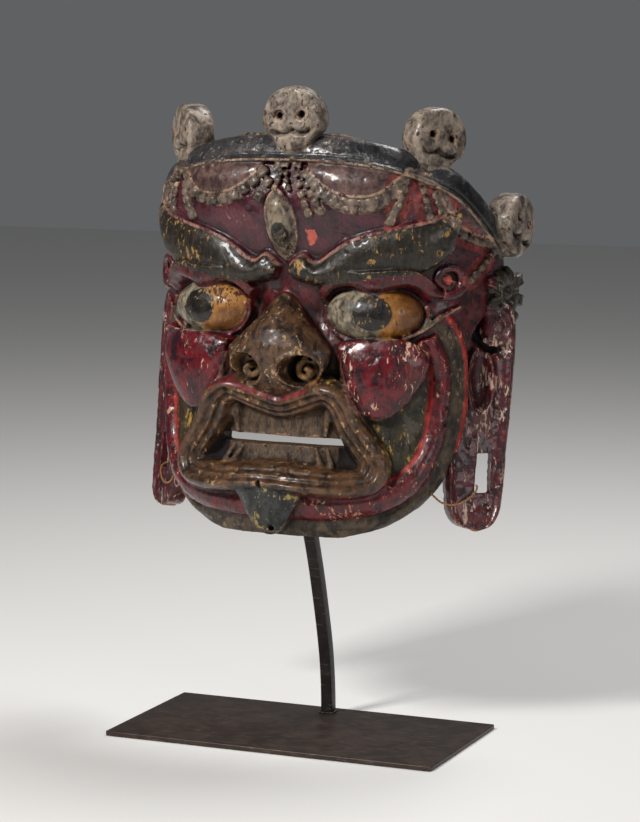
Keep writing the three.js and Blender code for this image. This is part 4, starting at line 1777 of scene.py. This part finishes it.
def wear_dirt_and_painted_light_group() -> Group:
    """Rubbed ridges, which also serve as painted highlights, and dirt in hollows and fine creases,
    which also serves as painted shade, over a painted colour.

    Returns:
        The group.
    """
    black = (0, 0, 0, 1)
    tree, given, out = node_group("wear_and_dirt", {
        "Color": black, "Rough": 0.5, "Ridge": 0.0, "Hollow": 0.0, "Break": 0.5, "Bare": black,
        "Rub": 0.5, "Dirt": 0.5}, {"Color": "Color", "Roughness": "Float"})
    broken = tree.math("SUBTRACT", given["Break"], 0.5)
    # rubbed wear that also serves as a painted highlight: ridges turn pale
    high = tree.math("MULTIPLY_ADD", broken, 1.1, given["Ridge"])
    rubbed = tree.math("MULTIPLY", tree.step(high, 0.3, 0.85), given["Rub"])
    # dirt and painted shade: hollows and fine creases darken
    deep = tree.math("MULTIPLY_ADD", broken, 0.8, given["Hollow"])
    fine = tree.step(tree.math("MULTIPLY_ADD", broken, 0.6, given["Ridge"]), -0.1, -0.75)
    deep = tree.math("MAXIMUM", tree.step(deep, 0.2, 2.2), fine)
    dirt_and_shade_mix = tree.math("MULTIPLY", deep, given["Dirt"])
    colour = tree.mix(rubbed, given["Color"], given["Bare"])
    # the near-black of dirt and painted shade
    colour = tree.mix(dirt_and_shade_mix, colour, rgb(14, 9, 8))
    rough = tree.math("MULTIPLY_ADD", rubbed, 0.12, given["Rough"])
    rough = tree.math("MULTIPLY_ADD", dirt_and_shade_mix, 0.3, rough)
    tree.feed(out, {"Color": colour, "Roughness": rough})
    return tree.tree


class Pattern(Enum):
    """The irregular patterns that colours break up by: stretch, features a metre, detail, twist."""

    CLOUD = ((1, 1, 1), 26.0, 6.0, 0.3)
    BLOTCH = ((1, 1, 0.7), 85.0, 6.0, 0.5)
    GRAIN = ((1, 1, 1), 420.0, 3.0, 0.2)
    STREAK = ((1, 1, 0.26), 250.0, 7.0, 0.7)
    FLECK = ((1, 1, 0.65), 190.0, 7.0, 0.3)


@dataclass(frozen=True)
class Coat:
    """One zone's paint: its two body colours, how they mix, its flecks and its roughness."""

    zone: str
    dark: Shade
    light: Shade
    fleck: Shade
    rough: float
    mottle: Pattern = Pattern.BLOTCH
    flecks: Pattern = Pattern.FLECK
    share: float = 0.62
    wander: float = 1.2

    def lay(self, tree: Tree, group: Group, patterns: dict[Pattern, Socket],
            under: tuple[Socket, Socket, Socket | float]) -> tuple[Socket, Socket, Socket]:
        """Lays this coat over what is there.

        Args:
            tree: the material's tree.
            group: the shared coat of paint.
            patterns: the patterns' sockets.
            under: the colour, the roughness and the chips below.

        Returns:
            The new colour, roughness and chips.
        """
        edge = tree.math("MULTIPLY_ADD", patterns[Pattern.FLECK], self.wander, -self.wander / 2)
        body = tree.blend(0.28, patterns[self.mottle], patterns[Pattern.FLECK])
        clump = tree.math("SUBTRACT", patterns[Pattern.CLOUD], 0.5)
        flecks = tree.math("MULTIPLY_ADD", clump, 0.6, patterns[self.flecks])
        made = tree.node("ShaderNodeGroup", {
            "Under": under[0], "Under Rough": under[1], "Zone": tree.attribute(f"zone_{self.zone}"),
            "Wander": edge, "Dark": rgb(*self.dark), "Light": rgb(*self.light),
            "Mottle": tree.step(body, 0.38, 0.62), "Fleck": rgb(*self.fleck),
            "Flecks": tree.step(flecks, self.share, self.share + 0.04),
            "Rough": self.rough, "Under Chips": under[2]}, node_tree=group)
        return made.outputs["Color"], made.outputs["Roughness"], made.outputs["Chips"]


@dataclass(frozen=True)
class Lacquer:
    """The mask's finish: coats of old paint, zone over zone, rubbed and dirty, with painted highlights
    on the ridges and painted shade in the hollows.
    """

    name: str = "lacquered_carving"
    ground: tuple[Colour, Colour] = (rgb(26, 7, 12), rgb(90, 17, 24))
    # pale bare wood of scratches and rubbed ridges; on ridges it also serves as a painted highlight
    rubbed: Colour = rgb(176, 138, 106)
    # how far ridges rub pale, partly a painted highlight, and how far hollows darken with dirt and
    # painted shade
    rub: float = 0.7
    dirt: float = 0.88
    coats: tuple[Coat, ...] = (
        Coat("forehead", (22, 8, 15), (76, 24, 38), (150, 110, 96), 0.24,
             Pattern.CLOUD, share=0.68, wander=8),
        Coat("swag", (46, 29, 29), (102, 76, 70), (150, 112, 98), 0.34, share=0.66),
        Coat("panel", (15, 14, 10), (58, 50, 29), (160, 122, 54), 0.4,
             flecks=Pattern.STREAK, share=0.58),
        Coat("band", (24, 19, 17), (86, 71, 56), (134, 112, 88), 0.46),
        Coat("roll", (34, 6, 12), (102, 18, 27), (186, 134, 108), 0.27),
        Coat("bright", (24, 6, 15), (104, 14, 26), (206, 164, 140), 0.21, flecks=Pattern.STREAK),
        Coat("ground", (66, 18, 23), (146, 60, 54), (60, 20, 24), 0.42, wander=5),
        Coat("scarlet", (104, 16, 17), (172, 42, 33), (200, 140, 104), 0.42),
        Coat("ear", (30, 9, 14), (86, 24, 31), (178, 150, 134), 0.33,
             flecks=Pattern.STREAK, share=0.58),
        Coat("bare", (108, 60, 30), (168, 108, 56), (70, 32, 24), 0.6, Pattern.STREAK, wander=2),
        Coat("leaf", (14, 14, 11), (58, 52, 40), (140, 126, 98), 0.42),
        Coat("brow", (8, 7, 6), (45, 36, 24), (150, 114, 60), 0.36, Pattern.STREAK, share=0.6),
        Coat("bone_eye", (70, 62, 50), (156, 144, 122), (48, 36, 28), 0.34,
             Pattern.BLOTCH, Pattern.STREAK, 0.6),
        Coat("third_eye", (38, 30, 25), (142, 127, 108), (30, 20, 18), 0.32,
             Pattern.BLOTCH, share=0.57),
        Coat("ochre", (96, 56, 24), (166, 114, 52), (58, 34, 20), 0.34,
             Pattern.CLOUD, Pattern.STREAK, 0.6, wander=6),
        Coat("lips", (28, 18, 13), (98, 67, 43), (176, 138, 92), 0.32, share=0.63),
        Coat("teeth", (38, 28, 21), (98, 76, 56), (34, 23, 17), 0.6,
             Pattern.STREAK, Pattern.STREAK, 0.6),
        Coat("rosy", (70, 17, 23), (132, 52, 50), (86, 20, 24), 0.32, share=0.66, wander=6),
        Coat("nose", (24, 15, 11), (96, 68, 46), (172, 142, 104), 0.36, share=0.6),
        Coat("gold", (58, 38, 22), (136, 100, 58), (40, 26, 18), 0.4),
        Coat("beard", (13, 13, 13), (56, 58, 58), (160, 138, 78), 0.4, share=0.58),
        Coat("crown", (7, 7, 9), (56, 54, 56), (134, 120, 104), 0.27, Pattern.CLOUD, share=0.63),
        Coat("beads", (32, 25, 22), (114, 97, 84), (176, 148, 124), 0.38),
        Coat("skull", (50, 39, 32), (154, 139, 124), (46, 35, 29), 0.38, share=0.61),
        # painted shade inside the skulls' drilled eyes
        Coat("skull_eye", (20, 15, 12), (52, 40, 32), (90, 76, 62), 0.7),
        Coat("trim", (80, 46, 41), (156, 116, 101), (58, 18, 20), 0.42, share=0.55, wander=3.4),
        # pale tan edges and outlines; along the eyes' outer corners this is a painted highlight
        Coat("tan_edge", (82, 58, 46), (170, 140, 114), (50, 24, 20), 0.44, share=0.55, wander=3.0),
        Coat("chip", (150, 64, 56), (190, 98, 82), (104, 32, 32), 0.5, share=0.58, wander=9),
        Coat("pupil", (7, 6, 6), (34, 27, 21), (140, 112, 72), 0.28, share=0.59, wander=5),
        # painted shade: near-black laid inside the nostrils, the mouth's corners, the curl's hollow and
        # the ears' crescent
        Coat("soot", (9, 5, 5), (22, 13, 11), (40, 24, 20), 0.6),
        Coat("inner", (50, 33, 23), (104, 72, 48), (34, 22, 17), 0.75,
             Pattern.STREAK, Pattern.STREAK, 0.6, 3),
    )

    def material(self, paint: Group, wear: Group) -> Finish:
        """The whole finish: every coat in order, then scratches, rubbing that also paints highlights on
        ridges, dirt that also paints shade in hollows, and gloss.

        Args:
            paint: the group that lays one coat.
            wear: the group of wear, dirt, painted highlights and painted shade.

        Returns:
            The material.
        """
        made, tree, shader = new_material(self.name)
        patterns = {kind: tree.noise(tree.place(kind.value[0]), *kind.value[1:3], 0.68,
                                     kind.value[3]) for kind in Pattern}
        cloud = tree.step(patterns[Pattern.BLOTCH], 0.34, 0.66)
        coat = (tree.mix(cloud, *self.ground), tree.blend(cloud, 0.24, 0.34), 0.0)
        for layer in self.coats:
            coat = layer.lay(tree, paint, patterns, coat)
        colour, rough, chips = coat
        lines = tree.noise(tree.place((1, 1, 0.05)), 420, 3, 0.5, 0.8)
        scratch = tree.math("ABSOLUTE", tree.math("SUBTRACT", lines, 0.53))
        scratch = tree.math("SUBTRACT", 1.0, tree.step(scratch, 0.003, 0.012))
        here = tree.step(patterns[Pattern.CLOUD], 0.5, 0.64)
        scratch = tree.math("MULTIPLY", scratch, tree.math("MULTIPLY", here, 0.4))
        colour = tree.mix(scratch, colour, self.rubbed)
        # wear and dirt, with painted highlights on ridges and painted shade in hollows
        worn = tree.node("ShaderNodeGroup", {
            "Color": colour, "Rough": rough, "Ridge": tree.attribute("zone_ridge"),
            "Hollow": tree.attribute("zone_hollow"), "Break": patterns[Pattern.GRAIN],
            "Bare": self.rubbed, "Rub": self.rub, "Dirt": self.dirt}, node_tree=wear).outputs
        gloss = tree.math("SUBTRACT", 1.0, tree.step(worn["Roughness"], 0.28, 0.5))
        height = tree.math("MULTIPLY_ADD", patterns[Pattern.GRAIN], 0.3, patterns[Pattern.FLECK])
        height = tree.math("MULTIPLY_ADD", patterns[Pattern.BLOTCH], 1.3, height)
        height = tree.math("MULTIPLY_ADD", scratch, -0.5, height)
        height = tree.math("MULTIPLY_ADD", chips, -0.45, height)
        tree.feed(shader, {
            "Base Color": worn["Color"], "Roughness": worn["Roughness"],
            "Coat Weight": tree.math("MULTIPLY", gloss, 0.35), "Coat Roughness": 0.13,
            "Specular IOR Level": 0.34, "Normal": tree.bump(height, 0.5, 0.0014)})
        return made


@dataclass(frozen=True)
class Steel:
    """Dark patinated steel, mottled, dusty and a little rubbed."""

    name: str
    dark: Colour
    light: Colour
    dust: Colour
    rough: float
    metal: float
    specks: float
    depth: float = 0.0001

    def material(self) -> Finish:
        """Blotches between two browns, pale specks, and a fine uneven sheen.

        Returns:
            The material.
        """
        made, tree, shader = new_material(self.name)
        place = tree.place()
        blotch = tree.noise(place, 34, 6, 0.66, 0.6)
        fine = tree.noise(place, 520, 3, 0.6)
        rubbed = tree.noise(tree.place((1, 6, 6)), 60, 4, 0.55)
        colour = tree.mix(tree.step(blotch, 0.36, 0.66), self.dark, self.light)
        colour = tree.mix(tree.math("MULTIPLY", tree.step(rubbed, 0.55, 0.75), 0.25), colour,
                          self.dust)
        speck = tree.step(fine, self.specks, self.specks + 0.03)
        colour = tree.mix(tree.math("MULTIPLY", speck, 0.5), colour, self.dust)
        rough = tree.math("MULTIPLY_ADD", blotch, 0.3, self.rough - 0.15)
        rough = tree.math("MULTIPLY_ADD", speck, 0.2, rough)
        height = tree.math("MULTIPLY_ADD", fine, 0.4, blotch)
        tree.feed(shader, {"Base Color": colour, "Roughness": rough, "Metallic": self.metal,
                           "Normal": tree.bump(height, 0.25, self.depth)})
        return made


@dataclass(frozen=True)
class Twine:
    """Twisted golden-brown fibre."""

    name: str = "twine"
    dark: Colour = rgb(92, 58, 32)
    light: Colour = rgb(168, 120, 72)

    def material(self) -> Finish:
        """Fibres along the strand, darker where the noise runs low.

        Returns:
            The material.
        """
        made, tree, shader = new_material(self.name)
        fibre = tree.noise(tree.place((1, 1, 0.4)), 1500, 3, 0.6)
        colour = tree.mix(tree.step(fibre, 0.35, 0.65), self.dark, self.light)
        rough = tree.math("MULTIPLY_ADD", fibre, 0.2, 0.66)
        tree.feed(shader, {"Base Color": colour, "Roughness": rough,
                           "Normal": tree.bump(fibre, 0.5, 0.0003)})
        return made


# ---- stand, ties and studio

@dataclass
class Stand:
    """A square steel bar, bent up and forward from a flat plate, welded at its foot."""

    side: float = 12.0
    corner: float = 1.3
    plate: Triple = (350.0, 180.0, 5.0)
    route: tuple = ((70.8, 0.3), (69.5, 30), (64.5, 66), (51, 118), (35, 168), (20, 205), (3, 234),
                    (-20, 252), (-52, 262))

    def bar(self) -> Piece:
        """The bar: a square with rounded corners carried along its route in the plane x = 0.

        Returns:
            The object.
        """
        route = curve([(y, z + self.plate[2]) for y, z in self.route], 150)
        along = np.gradient(route, axis=0)
        along /= np.linalg.norm(along, axis=1)[:, None]
        turn = around(32)
        flat = self.side / 2 - self.corner
        across = np.clip(np.cos(turn) * 99, -flat, flat) + self.corner * np.cos(turn)
        rise = np.clip(np.sin(turn) * 99, -flat, flat) + self.corner * np.sin(turn)
        wave = 1 + 0.004 * np.sin(np.linspace(0, 31, 150))[:, None]
        y = route[:, :1] - along[:, 1:] * rise * wave
        z = route[:, 1:] + along[:, :1] * rise * wave
        x = across[None] * wave + 0 * y
        solids = Solids()
        solids.loft(np.stack([x, y, z], axis=-1))
        return solids.mesh("bar")

    def foot_weld(self) -> Piece:
        """The bead of weld round the bar's foot: a small round carried about a square.

        Returns:
            The object.
        """
        turn = around(120)
        half = self.side / 2 + 0.6
        reach = half / np.maximum(np.abs(np.cos(turn)), np.abs(np.sin(turn)))
        reach = least(reach, half * 1.32)
        ring = around(10)[None]
        thick = 1.5 + 0.25 * np.sin(turn * 23)[:, None] + 0.2 * np.sin(turn * 7 + 1)[:, None]
        out = reach[:, None] + thick * np.cos(ring)
        x, y = out * np.cos(turn)[:, None], out * np.sin(turn)[:, None]
        z = self.plate[2] + 0.2 + thick * np.sin(ring)
        solids = Solids()
        solids.loft(np.stack([x, y + self.route[0][0], z], axis=-1), joined=True)
        return solids.mesh("foot_weld")

    def base(self) -> Piece:
        """The plate: its outline from bottom to top, drawn in a little at both rounded edges.

        Returns:
            The object.
        """
        long, wide, thick = self.plate
        rounding = 0.9
        turn = around(240)
        corner = 2.2
        fx, fy = long / 2 - corner, wide / 2 - corner
        x = np.clip(np.cos(turn) * 999, -fx, fx) * least(1, np.abs(np.cos(turn)) * 3)
        y = np.clip(np.sin(turn) * 999, -fy, fy) * least(1, np.abs(np.sin(turn)) * 3)
        levels = [(-rounding, 0), (-0.3 * rounding, 0.3 * rounding), (0, rounding),
                  (0, thick - rounding), (-0.3 * rounding, thick - 0.3 * rounding),
                  (-rounding, thick)]
        out, z = (np.array(level)[:, None] for level in zip(*levels))
        reach = corner + out
        solids = Solids()
        solids.loft(np.stack([x + reach * np.cos(turn), y + reach * np.sin(turn), z + 0 * turn],
                             axis=-1))
        return solids.mesh("plate")


@dataclass
class EarTie:
    """A short loop of twine through an ear's slot, tied to the rim of the face."""

    side: int
    mask: Mask
    diameter: float = 2.4
    rings: int = 120
    route: tuple = (
        (141, -1, 250), (144.5, 1, 246), (148.5, 4, 241.5), (153.5, 7.5, 238.5),
        (159, 11.5, 237.5), (164.5, 16.5, 238.5), (169.5, 21.8, 241.5), (173.5, 27.5, 245.5),
        (175.2, 32, 249.5), (174.4, 36.5, 252.6), (172.2, 40, 253.8))

    @property
    def name(self) -> str:
        """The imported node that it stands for."""
        return f"ear_tie_{'right' if self.side > 0 else 'left'}"

    def centres(self) -> Array:
        """Places along the strand, in mm in the frame."""
        table = self.mask.skin.table
        points = np.array([(self.side * x, y, z + table) for x, y, z in self.route])
        return curve(points, self.rings) @ turned(2, self.mask.turn).T

    def build(self) -> Piece:
        """Two plies twisted together: a two-lobed section that turns along the route.

        Returns:
            The piece.
        """
        centre = self.centres()
        along = np.gradient(centre, axis=0)
        along /= np.linalg.norm(along, axis=1)[:, None]
        aside = np.cross(along, (0, 0, 1))
        aside /= np.linalg.norm(aside, axis=1)[:, None]
        up = np.cross(aside, along)
        turn = around(14)[None]
        twist = np.linspace(0, 19 * np.pi, self.rings)[:, None]
        reach = self.diameter / 2 * (0.8 + 0.2 * np.cos(2 * (turn - twist)))
        section = (reach * np.cos(turn))[..., None] * aside[:, None]
        section = section + (reach * np.sin(turn))[..., None] * up[:, None]
        solids = Solids()
        solids.loft(centre[:, None] + section)
        piece = solids.mesh(f"tie_{self.name[8:]}")
        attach(piece, "root")
        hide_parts(self.name)
        return piece


@dataclass
class Studio:
    """The pale floor, soft lights and the camera."""

    eye: Triple = (1.11476, -2.53948, 0.71357)
    azimuth: float = 23.302
    elevation: float = 7.93
    lens: float = 123.53

    def camera(self) -> None:
        """A long lens, level, a little above and to the right of the mask."""
        data = bpy.data.cameras.new("camera")
        data.lens, data.sensor_width, data.clip_end = self.lens, 36.0, 50.0
        camera = bpy.data.objects.new("camera", data)
        camera.location = self.eye
        camera.rotation_euler = (math.radians(90 - self.elevation), 0, math.radians(self.azimuth))
        bpy.context.scene.collection.objects.link(camera)
        bpy.context.scene.camera = camera

    def light(self, name: str, place: Triple, power: float, size: float,
              colour: Triple = (1, 1, 1)) -> None:
        """A square soft light that faces the mask's middle.

        Args:
            name: its name.
            place: where it hangs, in metres.
            power: watts.
            size: metres.
            colour: its red, green and blue.
        """
        data = bpy.data.lights.new(name, "AREA")
        data.energy, data.size, data.color = power, size, colour
        lamp = bpy.data.objects.new(name, data)
        lamp.location = place
        away = np.array(place) - np.array([0, 0, 0.38])
        yaw = math.atan2(away[0], -away[1])
        tilt = math.atan2(math.hypot(away[0], away[1]), away[2])
        lamp.rotation_euler = (tilt, 0, yaw)
        bpy.context.scene.collection.objects.link(lamp)

    def build(self) -> None:
        """The floor, the world's even light and three soft lamps."""
        reach = np.linspace(-6, 6, 25)
        x, y = np.meshgrid(reach, reach)
        grid = np.stack([x, y, 0 * x], axis=-1)
        floor = Solids()
        floor.slab(grid / MM, (grid - [0, 0, 0.02]) / MM)
        ground = floor.mesh("floor")
        finish, tree, shader = new_material("pale_floor")
        tree.feed(shader, {"Base Color": (0.78, 0.77, 0.75, 1), "Roughness": 0.7})
        ground.data.materials.append(finish)
        world = bpy.data.worlds.new("world")
        world.use_nodes = True
        sky = world.node_tree.nodes["Background"]
        Tree(world.node_tree).feed(sky, {"Color": (0.9, 0.92, 0.95, 1), "Strength": 0.13})
        bpy.context.scene.world = world
        bpy.context.scene.view_settings.view_transform = "Standard"
        self.light("key", (-0.75, -1.9, 1.9), 62, 0.5, (1, 0.98, 0.95))
        self.light("fill", (2.3, -1.5, 0.9), 10, 0.9)
        self.light("top", (0.4, 0.9, 2.2), 30, 0.9)


def main() -> None:
    """Builds the camera, ties, mask, stand and studio, and reports each piece."""
    studio = Studio()
    studio.camera()
    mask = Mask()
    twine = Twine().material()
    for side in SIDES:
        tie = EarTie(side, mask).build()
        tie.data.shade_smooth()
        tie.data.materials.append(twine)
        log.info("%s: %d faces", tie.name, len(tie.data.polygons))
    lacquer = Lacquer().material(paint_group(), wear_dirt_and_painted_light_group())
    for carving in mask.build():
        carving.data.materials.append(lacquer)
        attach(carving, "root")
        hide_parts("mask")
    stand = Stand()
    bar_steel = Steel("bar_steel", rgb(24, 20, 18), rgb(44, 37, 33), rgb(150, 140, 130), 0.4,
                      0.35, 0.74)
    plate_steel = Steel("plate_steel", rgb(50, 39, 34), rgb(68, 54, 46), rgb(140, 128, 118), 0.42,
                        0.4, 0.72)
    bar_finish, plate_finish = bar_steel.material(), plate_steel.material()
    for piece, node, slot, finish in (
            (stand.bar(), "stand_bar", "bar_steel", bar_finish),
            (stand.foot_weld(), None, "bar_steel", bar_finish),
            (stand.base(), "base_plate", "plate_steel", plate_finish)):
        piece.data.shade_smooth()
        piece.data.materials.append(finish)
        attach(piece, "root")
        if node:
            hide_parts(node)
        log.info("%s: %d faces", piece.name, len(piece.data.polygons))
    studio.build()


if __name__ == "__main__":
    main()
